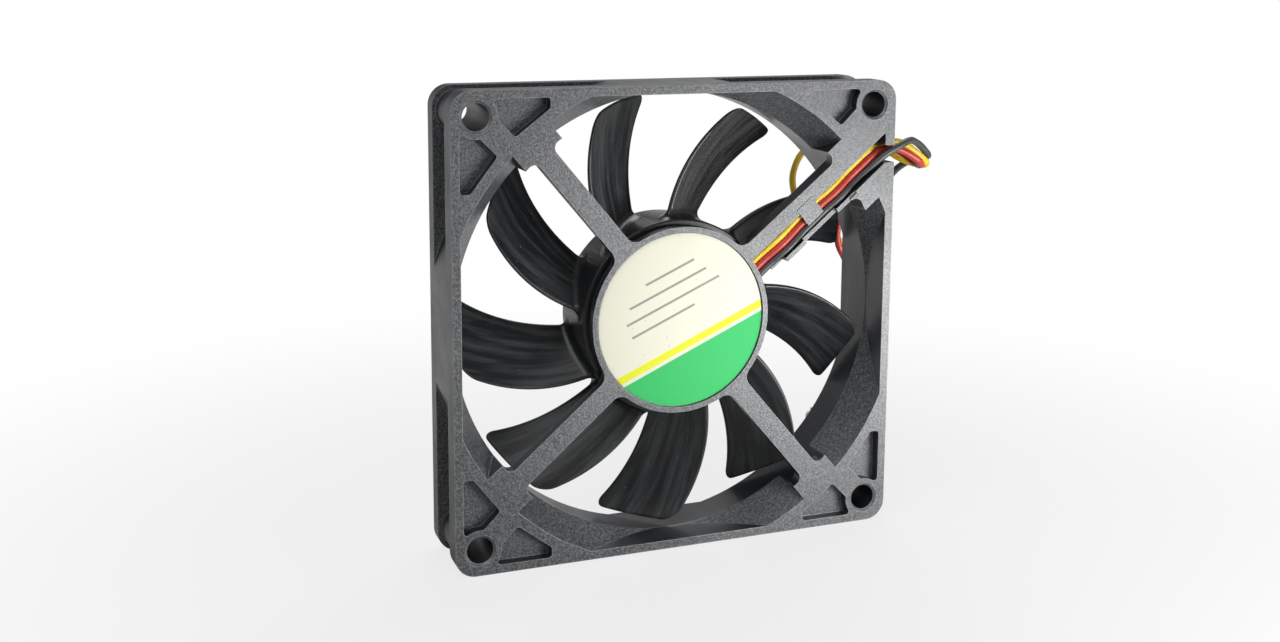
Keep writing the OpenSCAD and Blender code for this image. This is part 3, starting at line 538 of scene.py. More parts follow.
# frame plastic: grained front, back and flared mouths, smoother dark duct
framePlastic = {
    "index": 1.68,
    "flatFacing": (0.3, 0.46),           # share of the normal along the axis, from the duct to the flat faces
    "flatColour": (0.024, 0.0265, 0.03),
    "flatRough": (0.355, 0.43),
    "ductColour": (0.014, 0.0165, 0.021),
    "ductRough": (0.3, 0.42),
    "ductGrain": 0.15,                   # share of the flat faces' grain height
    # painted glints of the grain on the faces that face along the axis
    "glintColour": (0.23, 0.24, 0.25),
    "glintShare": 0.8,
    # edges lightened as handling wear and as painted highlight; this colour also paints the glint round the
    # holes
    "edgeWearAndHighlightColour": (0.26, 0.27, 0.28),
    "edgeWearAndHighlightShare": 0.75,
    "edges": (0.00032, 0.6),             # radius in m, and how far they are broken up
    "dustColour": (0.5, 0.5, 0.5),
    "dustShare": 0.5,
    "handling": (140.0, 1100.0),         # scale of the patches and of the dust
    "grainScale": 2700.0,
    "grainHeight": 0.000045,
    "holeGlintWidth": 0.00035,                 # m, painted glint round the mouths of the holes
    "holeGlintShare": 0.5,
    "round": 0.00012,                    # m, radius that softens the edges
    "roundSamples": 6,
}
holes = next(m["dims"] for m in frame["record"]["mounts"] if m["name"] == "mounting_holes")


# distance from the axis of the nearest mounting hole
def fromHole(tree, place):
    step = holes["spacing_x_mm"] / 2 * mm
    middle = addNode(tree, "ShaderNodeVectorMath", {1: fanAxis}, operation="SUBTRACT")
    folded = addNode(tree, "ShaderNodeVectorMath", operation="ABSOLUTE")
    moved = addNode(tree, "ShaderNodeVectorMath", {1: (step, 0.0, step)}, operation="SUBTRACT")
    level = addNode(tree, "ShaderNodeVectorMath", {1: (1.0, 0.0, 1.0)}, operation="MULTIPLY")
    far = addNode(tree, "ShaderNodeVectorMath", operation="LENGTH")
    tree.links.new(place, middle.inputs[0])
    for before, after in zip((middle, folded, moved, level), (folded, moved, level, far)):
        tree.links.new(before.outputs["Vector"], after.inputs[0])
    return far.outputs["Value"]


def makeFramePlastic(s):
    material, tree, shader = newMaterial("charcoalFrame", IOR=s["index"])
    place = objectCoords(tree)
    facing = axesOf(tree, addNode(tree, "ShaderNodeTexCoord").outputs["Normal"])
    flat = rangeOf(tree, math2(tree, "ABSOLUTE", facing["Y"]), *s["flatFacing"])
    grain = useGroup(tree, grainAndGlintGroup, place, s["grainScale"])
    edge = useGroup(tree, edgeWearAndHighlightGroup, place, *s["edges"])
    handled = useGroup(tree, handlingGroup, place, *s["handling"])
    # painted glints: bright facets of the grain mixed into the colour
    glints = times(tree, grain["Facets"], flat)
    plain = mixColour(tree, flat, s["ductColour"], s["flatColour"])
    withGlints = mixColour(tree, times(tree, glints, s["glintShare"]), plain, s["glintColour"])
    # edges lightened as handling wear and as painted highlight
    rubbedAndLit = mixColour(tree, times(tree, edge["Mask"], s["edgeWearAndHighlightShare"]), withGlints, s["edgeWearAndHighlightColour"])
    # painted glint ring round the mouths of the mounting holes
    holeR = holes["hole_r_mm"] * mm
    holeGlint = rangeOf(tree, fromHole(tree, place), holeR, holeR + s["holeGlintWidth"], s["holeGlintShare"], 0.0)
    rubbedAndLit = mixColour(tree, times(tree, holeGlint, flat), rubbedAndLit, s["edgeWearAndHighlightColour"])
    dusty = mixColour(tree, times(tree, handled["Dust"], s["dustShare"]), rubbedAndLit, s["dustColour"])
    flatRough = times(tree, byPatches(tree, handled, *s["flatRough"]), flat)
    ductShare = math2(tree, "SUBTRACT", 1.0, flat)
    ductRough = times(tree, byPatches(tree, handled, *s["ductRough"]), ductShare)
    rough = math2(tree, "ADD", flatRough, ductRough)
    rounded = addNode(tree, "ShaderNodeBevel", {"Radius": s["round"]}, samples=s["roundSamples"])
    height = times(tree, grain["Height"], rangeOf(tree, flat, 0.0, 1.0, s["ductGrain"], 1.0))
    setSurface(tree, shader, dusty, rough, bump(tree, height, s["grainHeight"], rounded.outputs["Normal"]))
    return material


# blade plastic: satin black with streaks that run outwards, lighter as real wipe marks and as painted sheen
bladePlastic = {
    "colour": (0.011, 0.012, 0.0135),
    "streakAndSheenColour": (0.075, 0.08, 0.083),
    "streakAndSheenShare": 0.8,
    "streaksAround": 26.0,               # per radian
    "streaksAlong": 60.0,                # per m outwards
    "streaksDeep": 400.0,                # per m along the axis
    "streaksLean": 14.0,                 # radians per m outwards
    "streakNoise": (1.0, 5.0, 0.65),     # scale, detail and roughness
    "streakRange": (0.42, 0.72),         # noise between which a streak sets in
    "streaksFrom": (0.0168, 0.019),      # m from the axis, where they set in
    "edgeWearAndHighlightColour": (0.2, 0.21, 0.215),
    "edgeWearAndHighlightShare": 0.5,
    "edges": (0.0003, 0.45),
    "dustColour": (0.45, 0.45, 0.44),
    "dustShare": 0.45,
    "handling": (90.0, 1500.0),
    "rough": (0.26, 0.46),
    "roughBy": (0.6, 0.4),               # shares of the streaks and of the patches in the roughness
    "fineScale": 2600.0,
    "fineHeight": 0.000012,
}


def makeBladePlastic(s):
    material, tree, shader = newMaterial("satinBlades")
    place = objectCoords(tree)
    x, y, z = axesOf(tree, mapped(tree, place, {"Location": (-fanAxis.x, 0.0, -fanAxis.z)}))
    radius = math2(tree, "SQRT", math2(tree, "ADD", times(tree, x, x), times(tree, z, z)))
    around = math2(tree, "ARCTAN2", z, x)
    swept = math2(tree, "ADD", around, times(tree, radius, s["streaksLean"]))
    polar = addNode(tree, "ShaderNodeCombineXYZ")
    tree.links.new(times(tree, swept, s["streaksAround"]), polar.inputs["X"])
    tree.links.new(times(tree, radius, s["streaksAlong"]), polar.inputs["Y"])
    tree.links.new(times(tree, y, s["streaksDeep"]), polar.inputs["Z"])
    wipes = rangeOf(tree, noise(tree, polar.outputs["Vector"], *s["streakNoise"]), *s["streakRange"])
    streaks = times(tree, wipes, rangeOf(tree, radius, *s["streaksFrom"]))
    edge = useGroup(tree, edgeWearAndHighlightGroup, place, *s["edges"])
    handled = useGroup(tree, handlingGroup, place, *s["handling"])
    # streaks lighter as real wipe marks and as painted sheen
    wipedAndSheen = mixColour(tree, times(tree, streaks, s["streakAndSheenShare"]), s["colour"], s["streakAndSheenColour"])
    # edges lightened as handling wear and as painted highlight
    rubbedAndLit = mixColour(tree, times(tree, edge["Mask"], s["edgeWearAndHighlightShare"]), wipedAndSheen, s["edgeWearAndHighlightColour"])
    dusty = mixColour(tree, times(tree, handled["Dust"], s["dustShare"]), rubbedAndLit, s["dustColour"])
    byStreaks, byHandling = s["roughBy"]
    marks = math2(tree, "ADD", times(tree, streaks, byStreaks), times(tree, handled["Patches"], byHandling))
    rough = rangeOf(tree, marks, 0.0, 1.0, *s["rough"])
    setSurface(tree, shader, dusty, rough, bump(tree, noise(tree, place, s["fineScale"]), s["fineHeight"]))
    return material


# label film: cream ground, a slanting green field with a yellow stripe along it, and ruled grey lines
labelPrint = {
    "ground": (0.86, 0.85, 0.7),
    "aged": (0.74, 0.73, 0.6),
    "agedShare": 0.12,
    "green": (0.045, 0.56, 0.15),
    "yellow": (0.83, 0.86, 0.03),
    "grey": (0.2, 0.2, 0.2),
    "greyShare": 0.8,
    "speck": (0.3, 0.29, 0.26),
    "speckShare": 0.4,
    "slant": 24.0,                       # degrees
    "greenField": (-20.0, -5.6),         # mm above the slanted middle line, as are the stripe and the rules
    "yellowStripe": (-5.0, -3.7),
    "rules": [                           # level, from and to
        (8.6, -3.4, 6.2), (6.2, -7.6, 7.6), (3.8, -9.2, 9.2), (1.4, -9.2, 3.2),
    ],
    "ruleWidth": 0.4,
    "soft": 0.06,
    "handling": (60.0, 900.0),
    "rough": (0.68, 0.78),
    "waves": (450.0, 3.0),               # scale and detail
    "waveHeight": 0.00002,
}


def makeLabelFilm(s):
    material, tree, shader = newMaterial("labelFilm")
    place = objectCoords(tree)
    centred = mapped(tree, place, {"Location": (-fanAxis.x / mm, 0.0, -fanAxis.z / mm),
                                   "Scale": (1 / mm, 1 / mm, 1 / mm)})
    axes = axesOf(tree, mapped(tree, centred, {"Rotation": (0.0, math.radians(s["slant"]), 0.0)}))
    across, up = axes["X"], axes["Z"]

    def between(value, low, high):
        return times(tree, rangeOf(tree, value, low - s["soft"], low + s["soft"]),
                     rangeOf(tree, value, high - s["soft"], high + s["soft"], 1.0, 0.0))

    ruled = 0.0
    half = s["ruleWidth"] / 2
    for level, start, end in s["rules"]:
        line = times(tree, between(up, level - half, level + half), between(across, start, end))
        ruled = math2(tree, "MAXIMUM", line, ruled)
    handled = useGroup(tree, handlingGroup, place, *s["handling"])
    printed = mixColour(tree, times(tree, handled["Patches"], s["agedShare"]), s["ground"], s["aged"])
    printed = mixColour(tree, between(up, *s["yellowStripe"]), printed, s["yellow"])
    printed = mixColour(tree, between(up, *s["greenField"]), printed, s["green"])
    printed = mixColour(tree, times(tree, ruled, s["greyShare"]), printed, s["grey"])
    printed = mixColour(tree, times(tree, handled["Dust"], s["speckShare"]), printed, s["speck"])
    waves = bump(tree, noise(tree, place, *s["waves"]), s["waveHeight"])
    setSurface(tree, shader, printed, byPatches(tree, handled, *s["rough"]), waves)
    return material


# vinyl of the leads
vinylSet = {
    "tones": {                           # colour, and its tone where it is worn
        "Yellow": ((0.83, 0.57, 0.025), (0.6, 0.4, 0.03)),
        "Red": ((0.52, 0.045, 0.032), (0.36, 0.03, 0.025)),
        "Black": ((0.05, 0.05, 0.05), (0.1, 0.1, 0.098)),
    },
    "wornShare": 0.35,
    "dustColour": (0.35, 0.34, 0.32),
    "dustShare": 0.5,
    "handling": (220.0, 1800.0),
    "rough": (0.3, 0.46),
    "waves": (1500.0, 3.0),
    "waveHeight": 0.00002,
}


def makeVinyl(s, colour):
    material, tree, shader = newMaterial("vinyl" + colour)
    place = objectCoords(tree)
    handled = useGroup(tree, handlingGroup, place, *s["handling"])
    toned = mixColour(tree, times(tree, handled["Patches"], s["wornShare"]), *s["tones"][colour])
    dusty = mixColour(tree, times(tree, handled["Dust"], s["dustShare"]), toned, s["dustColour"])
    waves = bump(tree, noise(tree, place, *s["waves"]), s["waveHeight"])
    setSurface(tree, shader, dusty, byPatches(tree, handled, *s["rough"]), waves)
    return material


# moulded or pressed small parts: a colour, a second tone in patches, fine grain, and edges lightened by wear
# and painted highlight
mouldingSet = {
    "handling": (260.0, 2200.0),
    "edges": (0.00015, 0.5),
    "edgeWearAndHighlightShare": 0.35,
    "edgeGain": (1.5, 0.03),             # an edge lightened by wear and painted highlight is the colour times the first plus the second
    "roughSpread": (-0.06, 0.08),
}


def makeMoulding(s, name, colour, tone, rough, scale=2500.0, height=0.00002, metallic=0.0):
    material, tree, shader = newMaterial(name, Metallic=metallic)
    place = objectCoords(tree)
    handled = useGroup(tree, handlingGroup, place, *s["handling"])
    grain = useGroup(tree, grainAndGlintGroup, place, scale)
    edge = useGroup(tree, edgeWearAndHighlightGroup, place, *s["edges"])
    patched = mixColour(tree, handled["Patches"], colour, tone)
    gain, lift = s["edgeGain"]
    lighter = tuple(min(1.0, gain * c + lift) for c in colour)
    # edges lightened as handling wear and as painted highlight
    rubbedAndLit = mixColour(tree, times(tree, edge["Mask"], s["edgeWearAndHighlightShare"]), patched, lighter)
    ends = [rough + change for change in s["roughSpread"]]
    setSurface(tree, shader, rubbedAndLit, byPatches(tree, handled, *ends), bump(tree, grain["Height"], height))
    return material


# lines across the fan's axis, as on stacked sheets, wound wire or turned metal
linedSet = {
    "unitPitch": 0.314,                  # m between two bands of the texture at scale 1
    "distortion": 0.6,
    "detail": 1.0,
    "handling": (300.0, 2500.0),
    "roughSpread": (-0.06, 0.08),
}


def makeLined(s, name, colour, tone, rough, pitch, height, metallic):
    material, tree, shader = newMaterial(name, Metallic=metallic)
    place = objectCoords(tree)
    lines = addNode(tree, "ShaderNodeTexWave",
                    {"Scale": s["unitPitch"] / pitch, "Distortion": s["distortion"], "Detail": s["detail"]},
                    wave_type="BANDS", bands_direction="Y", wave_profile="SIN")
    tree.links.new(place, lines.inputs["Vector"])
    handled = useGroup(tree, handlingGroup, place, *s["handling"])
    toned = mixColour(tree, times(tree, lines.outputs["Fac"], handled["Patches"]), colour, tone)
    ends = [rough + change for change in s["roughSpread"]]
    setSurface(tree, shader, toned, byPatches(tree, handled, *ends), bump(tree, lines.outputs["Fac"], height))
    return material


# name, colour, second tone and roughness, then the grain's scale and height and the share of metal
mouldings = {
    "cap": ("capPlastic", (0.03, 0.031, 0.034), (0.04, 0.042, 0.045), 0.5),
    "pad": ("padPlastic", (0.8, 0.78, 0.68), (0.7, 0.68, 0.58), 0.45),
    "bronze": ("sinteredBronze", (0.42, 0.26, 0.1), (0.3, 0.18, 0.07), 0.42, 5200.0, 0.00004, 0.9),
    "insulator": ("insulatorPlastic", (0.84, 0.83, 0.77), (0.75, 0.74, 0.66), 0.45),
    "tinned": ("tinnedMetal", (0.62, 0.62, 0.61), (0.5, 0.5, 0.49), 0.36, 3000.0, 0.00001, 1.0),
    "board": ("boardLaminate", (0.03, 0.16, 0.065), (0.022, 0.12, 0.05), 0.34, 1500.0, 0.00002),
    "resin": ("chipResin", (0.016, 0.016, 0.017), (0.024, 0.024, 0.025), 0.5, 4200.0, 0.00002),
    "ceramic": ("firedCeramic", (0.27, 0.16, 0.085), (0.2, 0.12, 0.065), 0.4),
    "tie": ("tiePaper", (0.014, 0.014, 0.015), (0.026, 0.026, 0.027), 0.62, 3000.0, 0.00006),
    "nylon": ("naturalNylon", (0.8, 0.77, 0.67), (0.7, 0.67, 0.56), 0.38, 1800.0, 0.00002),
    "contact": ("stampedBrass", (0.62, 0.47, 0.22), (0.5, 0.36, 0.15), 0.3, 2600.0, 0.00001, 1.0),
    "magnet": ("bondedFerrite", (0.06, 0.055, 0.05), (0.085, 0.08, 0.073), 0.6, 3800.0, 0.00004),
    "slinger": ("washerPlastic", (0.7, 0.65, 0.52), (0.6, 0.55, 0.43), 0.45),
}

# name, colour, second tone and roughness, then the lines' pitch and height and the share of metal
linings = {
    "laminations": ("stackedSheets", (0.32, 0.33, 0.35), (0.2, 0.21, 0.22), 0.42, 0.0004, 0.00004, 0.9),
    "copper": ("woundCopper", (0.52, 0.19, 0.07), (0.4, 0.12, 0.04), 0.32, 0.00022, 0.00006, 0.85),
    "yoke": ("drawnSteel", (0.42, 0.43, 0.45), (0.32, 0.33, 0.34), 0.36, 0.0006, 0.00001, 1.0),
    "shaft": ("groundSteel", (0.66, 0.67, 0.69), (0.56, 0.57, 0.58), 0.2, 0.0002, 0.000004, 1.0),
    "brass": ("turnedBrass", (0.56, 0.38, 0.12), (0.44, 0.28, 0.07), 0.28, 0.00025, 0.00001, 1.0),
}
materials = {
    "frame": makeFramePlastic(framePlastic),
    "blades": makeBladePlastic(bladePlastic),
    "label": makeLabelFilm(labelPrint),
}
for finish, values in mouldings.items():
    materials[finish] = makeMoulding(mouldingSet, *values)
for finish, values in linings.items():
    materials[finish] = makeLined(linedSet, *values)
for colour, tubes in leadTubes.items():
    materials["vinyl" + colour] = makeVinyl(vinylSet, colour)
    for tube in tubes:
        tube.data.materials.append(materials["vinyl" + colour])
print("materials made:", len(materials))

# pieces that keep their solids and get a finish
nodeFinish = {
    "bearing_cap": "cap", "thrust_pad": "pad", "sleeve_bearing": "bronze", "stator_core": "laminations",
    "front_insulator": "insulator", "back_insulator": "insulator", "windings": "copper",
    "terminal_pins": "tinned", "circuit_board": "board", "hall_sensor": "resin", "driver_chip": "resin",
    "board_parts": "ceramic", "lead_cores": "tinned", "coil_tie": "tie", "connector_contacts": "contact",
    "rotor_yoke": "yoke", "magnet_ring": "magnet", "shaft": "shaft", "shaft_boss": "brass",
    "oil_slinger": "slinger", "retaining_clip": "tinned",
}


def dress(piece, material):
    if piece.material_slots:
        for materialSlot in piece.material_slots:
            materialSlot.material = material
    else:
        piece.data.materials.append(material)


for node, finish in nodeFinish.items():
    dress(nodes[node], materials[finish])
print("plain pieces dressed:", len(nodeFinish))


# merged copy of a fixed node's mesh, with smooth round faces, that stands for the node
def copyNode(node, name, material, smoothAngle):
    piece = bpy.data.objects.new(name, nodes[node].data.copy())
    bpy.context.scene.collection.objects.link(piece)
    makeActive(piece)
    bpy.ops.object.mode_set(mode="EDIT")
    bpy.ops.mesh.select_all(action="SELECT")
    bpy.ops.mesh.remove_doubles(threshold=weld)
    bpy.ops.mesh.customdata_custom_splitnormals_clear()
    bpy.ops.object.mode_set(mode="OBJECT")
    smoothByAngle(piece, smoothAngle)
    dress(piece, material)
    standFor(piece, "stator", node)
    return piece


# frame, with angles in degrees here and in the other pieces
frameSet = {"smoothAngle": 28}
frameShell = copyNode("housing", "frameShell", materials["frame"], frameSet["smoothAngle"])
print("frame shell:", len(frameShell.data.polygons), "faces")

# connector at the leads' far end, with its long edges rounded
connectorSet = {"round": 0.9, "segments": 5, "smoothAngle": 40, "flatAngle": 1, "sharpAngle": 57}


def addConnector(s):
    shell = copyNode("connector_housing", "connectorShell", materials["nylon"],
                     s["smoothAngle"])
    low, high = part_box("connector_housing")
    makeActive(shell)
    bpy.ops.object.mode_set(mode="EDIT")
    bpy.ops.mesh.select_all(action="SELECT")
    bpy.ops.mesh.dissolve_limited(angle_limit=math.radians(s["flatAngle"]))

    def longEdge(e):
        a, b = e.verts[0].co, e.verts[1].co
        outside = min(abs(a.x - low.x), abs(a.x - high.x)) < near
        lengthwise = abs(a.x - b.x) < near and abs(a.z - b.z) < near
        return outside and lengthwise and e.calc_face_angle(0) > math.radians(s["sharpAngle"])

    count = pick(shell, "edges", longEdge)
    bpy.ops.mesh.bevel(offset=s["round"] * mm, segments=s["segments"], affect="EDGES")
    bpy.ops.object.mode_set(mode="OBJECT")
    print("connector edges rounded:", count)
    return shell


connectorShell = addConnector(connectorSet)

# label disc in its recess
labelSet = {"sides": 192, "edge": 0.03, "edgeSegments": 2, "smoothAngle": 40}
labelLow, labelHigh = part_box("label")


def addLabel(s):
    deselectAll()
    middle = (labelLow + labelHigh) / 2
    bpy.ops.mesh.primitive_cylinder_add(vertices=s["sides"], radius=(labelHigh.x - labelLow.x) / 2,
                                        depth=labelHigh.y - labelLow.y, location=middle,
                                        rotation=(math.pi / 2, 0, 0))
    label = settle("labelDisc")
    bpy.ops.object.mode_set(mode="EDIT")
    pick(label, "edges", lambda e: all(v.co.y < middle.y for v in e.verts))
    bpy.ops.mesh.bevel(offset=s["edge"] * mm, segments=s["edgeSegments"], affect="EDGES")
    bpy.ops.object.mode_set(mode="OBJECT")
    smoothByAngle(label, s["smoothAngle"])
    dress(label, materials["label"])
    standFor(label, "stator", "label")


addLabel(labelSet)
print("label laid")

# impeller: nine swept blades on a cup-shaped hub, sizes in mm, depths behind the front face
impellerSet = {
    "blades": 9,
    "hubRadius": 17.0, "hubFront": 3.0, "hubBack": 14.4, "hubWall": 1.5, "hubEnd": 1.3,
    "hubRound": (0.8, 6), "rimRound": (0.3, 4), "hubSides": 180,   # rounds: radius and segments
    "tipRadius": 37.6,
    "wrap": 27.0,                        # degrees at the hub
    "frontSweep": (18.0, 4.3), "backSweep": (8.5, 5.4),   # degrees, by the way out and by its square
    "frontDepth": (5.0, 0.7), "backDepth": (12.0, 2.2),   # at the hub, and added up to the tip
    "camber": 0.7,
    "rootThick": 1.3, "tipThick": 0.9, "edgeWearAndHighlightShare": 0.6, "rootFillet": 1.5,
    "tipCorner": 2.0, "tipEdge": 0.4, "tipLeast": 0.35,   # least share of the thickness
    "slopeStep": 0.01,                   # share of the chord over which its slope is measured
    "around": 64,
    "rings": [(16.2, 17.0, 2), (17.0, 18.6, 8), (18.6, 35.2, 18), (35.2, 37.6, 12)],   # from, to and count
    "smoothAngle": 32,
}


def bladeMiddle(s, r, t):
    share = (r - s["hubRadius"]) / (s["tipRadius"] - s["hubRadius"])
    front = s["wrap"] / 2 - s["frontSweep"][0] * share - s["frontSweep"][1] * share * share
    back = -s["wrap"] / 2 - s["backSweep"][0] * share - s["backSweep"][1] * share * share
    frontDepth = s["frontDepth"][0] + s["frontDepth"][1] * share
    backDepth = s["backDepth"][0] + s["backDepth"][1] * share
    return Vector((math.radians(front + (back - front) * t) * r,
                   frontDepth + (backDepth - frontDepth) * t + s["camber"] * 4 * t * (1 - t)))


def roundedEnd(share):
    return math.sqrt(max(0.0, 1 - (1 - min(1.0, share)) ** 2))


# point of a blade's skin at a radius, a turn round its section
def bladePoint(s, r, around):
    t = (1 - math.cos(around)) / 2
    side = 1 if around <= math.pi else -1
    share = (r - s["hubRadius"]) / (s["tipRadius"] - s["hubRadius"])
    chord = (bladeMiddle(s, r, 1) - bladeMiddle(s, r, 0)).length
    inTip = max(0.0, (r - s["tipRadius"] + s["tipCorner"]) / s["tipCorner"])
    pull = s["tipCorner"] * (1 - math.sqrt(max(0.0, 1 - inTip * inTip)))
    inRoot = min(s["rootFillet"], max(0.0, r - s["hubRadius"]))
    flare = s["rootFillet"] - math.sqrt(s["rootFillet"] ** 2 - (s["rootFillet"] - inRoot) ** 2)
    low = (pull - flare) / chord
    at = low + (1 - 2 * low) * t
    middle = bladeMiddle(s, r, at)
    step = s["slopeStep"]
    along = (bladeMiddle(s, r, at + step) - bladeMiddle(s, r, at - step)).normalized()
    thick = s["rootThick"] + (s["tipThick"] - s["rootThick"]) * share
    half = thick / 2 * (s["edgeWearAndHighlightShare"] + (1 - s["edgeWearAndHighlightShare"]) * abs(math.sin(around))) + flare
    edge = thick / 2 * s["edgeWearAndHighlightShare"] + flare
    fromEdge = min(t, 1 - t) * chord * (1 - 2 * low)
    tipShare = max(0.0, (s["tipRadius"] - r) / s["tipEdge"])
    out = side * half * roundedEnd(fromEdge / edge) * max(s["tipLeast"], roundedEnd(tipShare))
    angle = (middle.x - along.y * out) / r
    depth = middle.y + along.x * out
    return Vector((fanAxis.x + r * math.cos(angle) * mm,
                   frontY + depth * mm,
                   fanAxis.z + r * math.sin(angle) * mm))


def ringRadii(s):
    radii = [s["rings"][0][0]]
    for low, high, count in s["rings"]:
        for i in range(1, count + 1):
            share = i / count
            if high == s["tipRadius"]:
                share = math.sin(share * math.pi / 2)
            radii.append(low + (high - low) * share)
    return radii


def addBlade(s):
    radii = ringRadii(s)
    deselectAll()
    bpy.ops.mesh.primitive_grid_add(x_subdivisions=s["around"], y_subdivisions=len(radii) - 1, size=1)
    blade = settle("blade")
    for vertex in blade.data.vertices:
        around = (vertex.co.x + 0.5) * 2 * math.pi
        ring = round((vertex.co.y + 0.5) * (len(radii) - 1))
        vertex.co = bladePoint(s, radii[ring], around)
    bpy.ops.object.mode_set(mode="EDIT")
    bpy.ops.mesh.select_all(action="SELECT")
    bpy.ops.mesh.remove_doubles(threshold=weld)
    bpy.ops.mesh.fill_holes(sides=0)
    bpy.ops.mesh.select_all(action="SELECT")
    bpy.ops.mesh.normals_make_consistent(inside=False)
    bpy.ops.object.mode_set(mode="OBJECT")
    return blade


def addHub(s):
    deselectAll()
    deep = s["hubBack"] - s["hubFront"]
    front = frontY + s["hubFront"] * mm
    back = frontY + s["hubBack"] * mm
    outer = s["hubRadius"] * mm
    bpy.ops.mesh.primitive_cylinder_add(vertices=s["hubSides"], radius=outer, depth=deep * mm,
                                        location=(fanAxis.x, (front + back) / 2, fanAxis.z),
                                        rotation=(math.pi / 2, 0, 0))
    hub = settle("hub")

    def level(part, depth):
        return all(abs(v.co.y - depth) < near for v in part.verts)

    def atRim(v):
        return abs(Vector((v.co.x - fanAxis.x, v.co.z - fanAxis.z)).length - outer) < near

    def roundEdges(test, radius, segments):
        pick(hub, "edges", test)
        bpy.ops.mesh.bevel(offset=radius * mm, segments=segments, affect="EDGES")

    bpy.ops.object.mode_set(mode="EDIT")
    roundEdges(lambda e: level(e, back), *s["hubRound"])
    pick(hub, "faces", lambda f: level(f, front))
    bpy.ops.mesh.inset(thickness=s["hubWall"] * mm)
    bpy.ops.mesh.extrude_region_move(TRANSFORM_OT_translate={"value": (0, (deep - s["hubEnd"]) * mm, 0)})
    roundEdges(lambda e: level(e, front) and all(atRim(v) for v in e.verts), *s["rimRound"])
    bpy.ops.mesh.select_all(action="SELECT")
    bpy.ops.mesh.normals_make_consistent(inside=False)
    bpy.ops.object.mode_set(mode="OBJECT")
    return hub


def addImpeller(s):
    first = addBlade(s)
    copies = [first]
    for k in range(1, s["blades"]):
        other = first.copy()
        other.data = first.data.copy()
        bpy.context.scene.collection.objects.link(other)
        turned = Matrix.Rotation(2 * math.pi * k / s["blades"], 4, "Y")
        shift = Matrix.Translation((fanAxis.x, 0, fanAxis.z))
        other.data.transform(shift @ turned @ shift.inverted())
        copies.append(other)
    deselectAll()
    for blade in copies:
        blade.select_set(True)
    bpy.context.view_layer.objects.active = first
    bpy.ops.object.join()
    impeller = addHub(s)
    impeller.name = "impellerBody"
    union = impeller.modifiers.new("blades", "BOOLEAN")
    union.operation = "UNION"
    union.solver = "EXACT"
    union.object = first
    makeActive(impeller)
    bpy.ops.object.modifier_apply(modifier=union.name)
    bpy.data.objects.remove(first)
    smoothByAngle(impeller, s["smoothAngle"])
    dress(impeller, materials["blades"])
    standFor(impeller, "rotor", "impeller")
    return impeller


impellerBody = addImpeller(impellerSet)
print("impeller:", len(impellerBody.data.polygons), "faces")

# pale floor that fades into white surroundings, and soft lamps
stageSet = {
    "floorSize": 8.0,                    # m
    "floorColour": (0.6, 0.6, 0.6),
    "floorShade": (0.576, 0.576, 0.576),
    "floorPatches": 3.0,                 # scale of the shade's patches
    "floorRough": 0.9,
    "glow": (0.77, 1.0),                 # share of plain white that is seen near the object and far away
    "fade": (0.05, 0.2),                 # m from the middle of the object
    # white that glossy surfaces show: direction from the object, cosines between which it fades, and share
    "backdrop": ((0.36, 0.92, -0.13), (0.94, 0.985), 1.0),
    "leftWall": ((-0.32, 0.93, -0.17), (0.86, 0.96), 0.5),
    "tableTop": ((0.81, -0.59, 0.0), (0.8, 0.97), 1.0),
    "ambient": 0.18,
    "lamps": [                           # name, place, aim, width and height in m, watts
        ("windowLamp", (0.21, -0.27, 0.024), (0.02, 0.0, 0.04), (0.24, 0.045), 0.3),
        ("tableLamp", (0.102, -0.118, 0.012), (0.035, 0.0, 0.025), (0.1, 0.02), 0.165),
        ("skyLamp", (-0.3, -0.3, 0.55), (0.0, 0.0, 0.04), (0.5, 0.5), 1.7),
        ("backLamp", (0.22, 0.36, 0.58), (0.0, 0.0, 0.04), (0.5, 0.3), 2.0),
    ],
}


# how far a ray shows plain white: fully to the camera and through clear things, and in gloss by area
def showsWhite(tree, outward, areas):
    path = addNode(tree, "ShaderNodeLightPath")
    unit = addNode(tree, "ShaderNodeVectorMath", operation="NORMALIZE")
    tree.links.new(outward, unit.inputs[0])
    white = 0.0
    for aim, edge, share in areas:
        along = addNode(tree, "ShaderNodeVectorMath", {1: aim}, operation="DOT_PRODUCT")
        tree.links.new(unit.outputs["Vector"], along.inputs[0])
        white = math2(tree, "MAXIMUM", rangeOf(tree, along.outputs["Value"], *edge, 0.0, share), white)
    mirrored = times(tree, path.outputs["Is Glossy Ray"], white)
    direct = math2(tree, "ADD", path.outputs["Is Camera Ray"], path.outputs["Is Transmission Ray"])
    return math2(tree, "ADD", direct, mirrored, clamp=True)


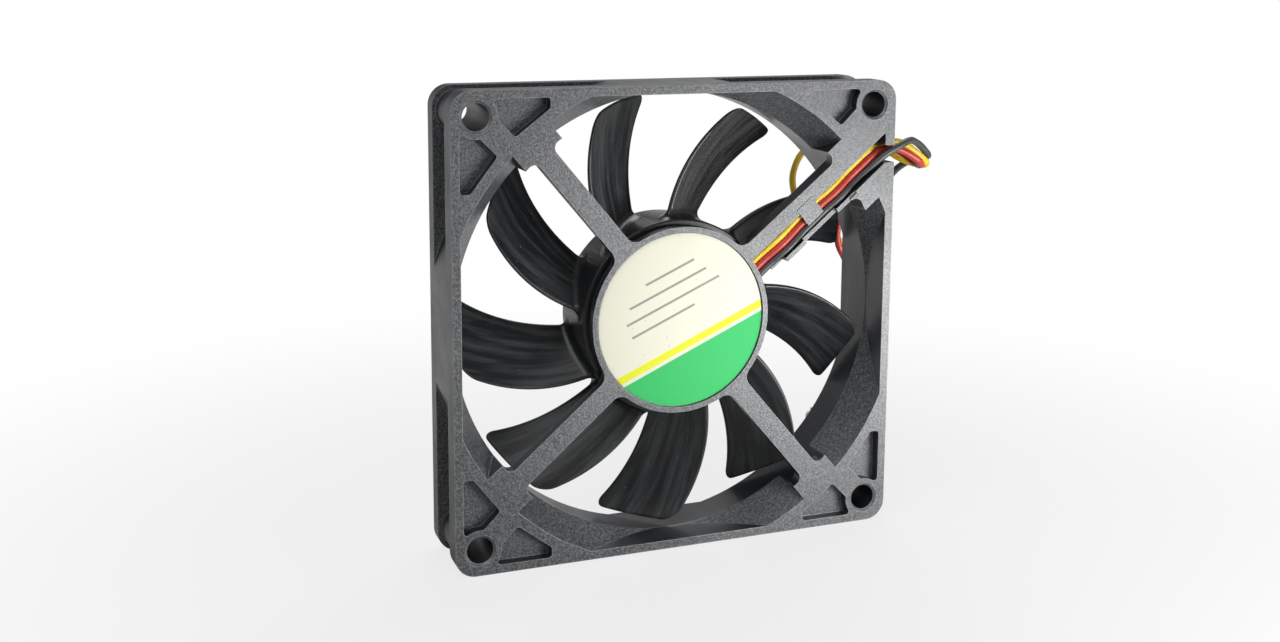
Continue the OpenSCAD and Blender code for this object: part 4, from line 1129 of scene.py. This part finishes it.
def addFloor(s):
    deselectAll()
    bpy.ops.mesh.primitive_plane_add(size=s["floorSize"], location=(0, 0, cadBox[0][2]))
    floor = settle("paleFloor")
    material, tree, shader = newMaterial("paleFloor", Roughness=s["floorRough"])
    place = objectCoords(tree)
    toned = mixColour(tree, noise(tree, place, s["floorPatches"]), s["floorColour"], s["floorShade"])
    tree.links.new(toned, shader.inputs["Base Color"])
    far = addNode(tree, "ShaderNodeVectorMath", operation="LENGTH")
    tree.links.new(place, far.inputs[0])
    white = rangeOf(tree, far.outputs["Value"], *s["fade"], *s["glow"], smooth=True)
    glow = addNode(tree, "ShaderNodeEmission", {"Color": (1, 1, 1, 1), "Strength": 1.0})
    mixed = addNode(tree, "ShaderNodeMixShader")
    areas = [s["backdrop"], s["leftWall"], s["tableTop"]]
    tree.links.new(times(tree, white, showsWhite(tree, place, areas)), mixed.inputs[0])
    tree.links.new(shader.outputs["BSDF"], mixed.inputs[1])
    tree.links.new(glow.outputs["Emission"], mixed.inputs[2])
    tree.links.new(mixed.outputs[0], tree.nodes["Material Output"].inputs["Surface"])
    floor.data.materials.append(material)


def addLamps(s):
    for name, place, aim, (width, height), watts in s["lamps"]:
        bpy.ops.object.light_add(type="AREA", location=place)
        lamp = bpy.context.object
        lamp.name = name
        lamp.data.shape = "RECTANGLE"
        lamp.data.size = width
        lamp.data.size_y = height
        lamp.data.energy = watts
        lamp.visible_camera = False
        lamp.rotation_euler = (Vector(aim) - Vector(place)).to_track_quat("-Z", "Y").to_euler()


def addWorld(s):
    world = bpy.data.worlds.new("whiteRoom")
    bpy.context.scene.world = world
    world.use_nodes = True
    tree = world.node_tree
    tree.nodes.clear()
    seen = addNode(tree, "ShaderNodeBackground", {"Color": (1, 1, 1, 1), "Strength": 1.0})
    cast = addNode(tree, "ShaderNodeBackground", {"Color": (1, 1, 1, 1), "Strength": s["ambient"]})
    mixed = addNode(tree, "ShaderNodeMixShader")
    outward = addNode(tree, "ShaderNodeTexCoord").outputs["Generated"]
    tree.links.new(showsWhite(tree, outward, [s["backdrop"], s["leftWall"]]), mixed.inputs[0])
    tree.links.new(cast.outputs[0], mixed.inputs[1])
    tree.links.new(seen.outputs[0], mixed.inputs[2])
    output = addNode(tree, "ShaderNodeOutputWorld")
    tree.links.new(mixed.outputs[0], output.inputs["Surface"])


addFloor(stageSet)
addLamps(stageSet)
addWorld(stageSet)
print("stage set")
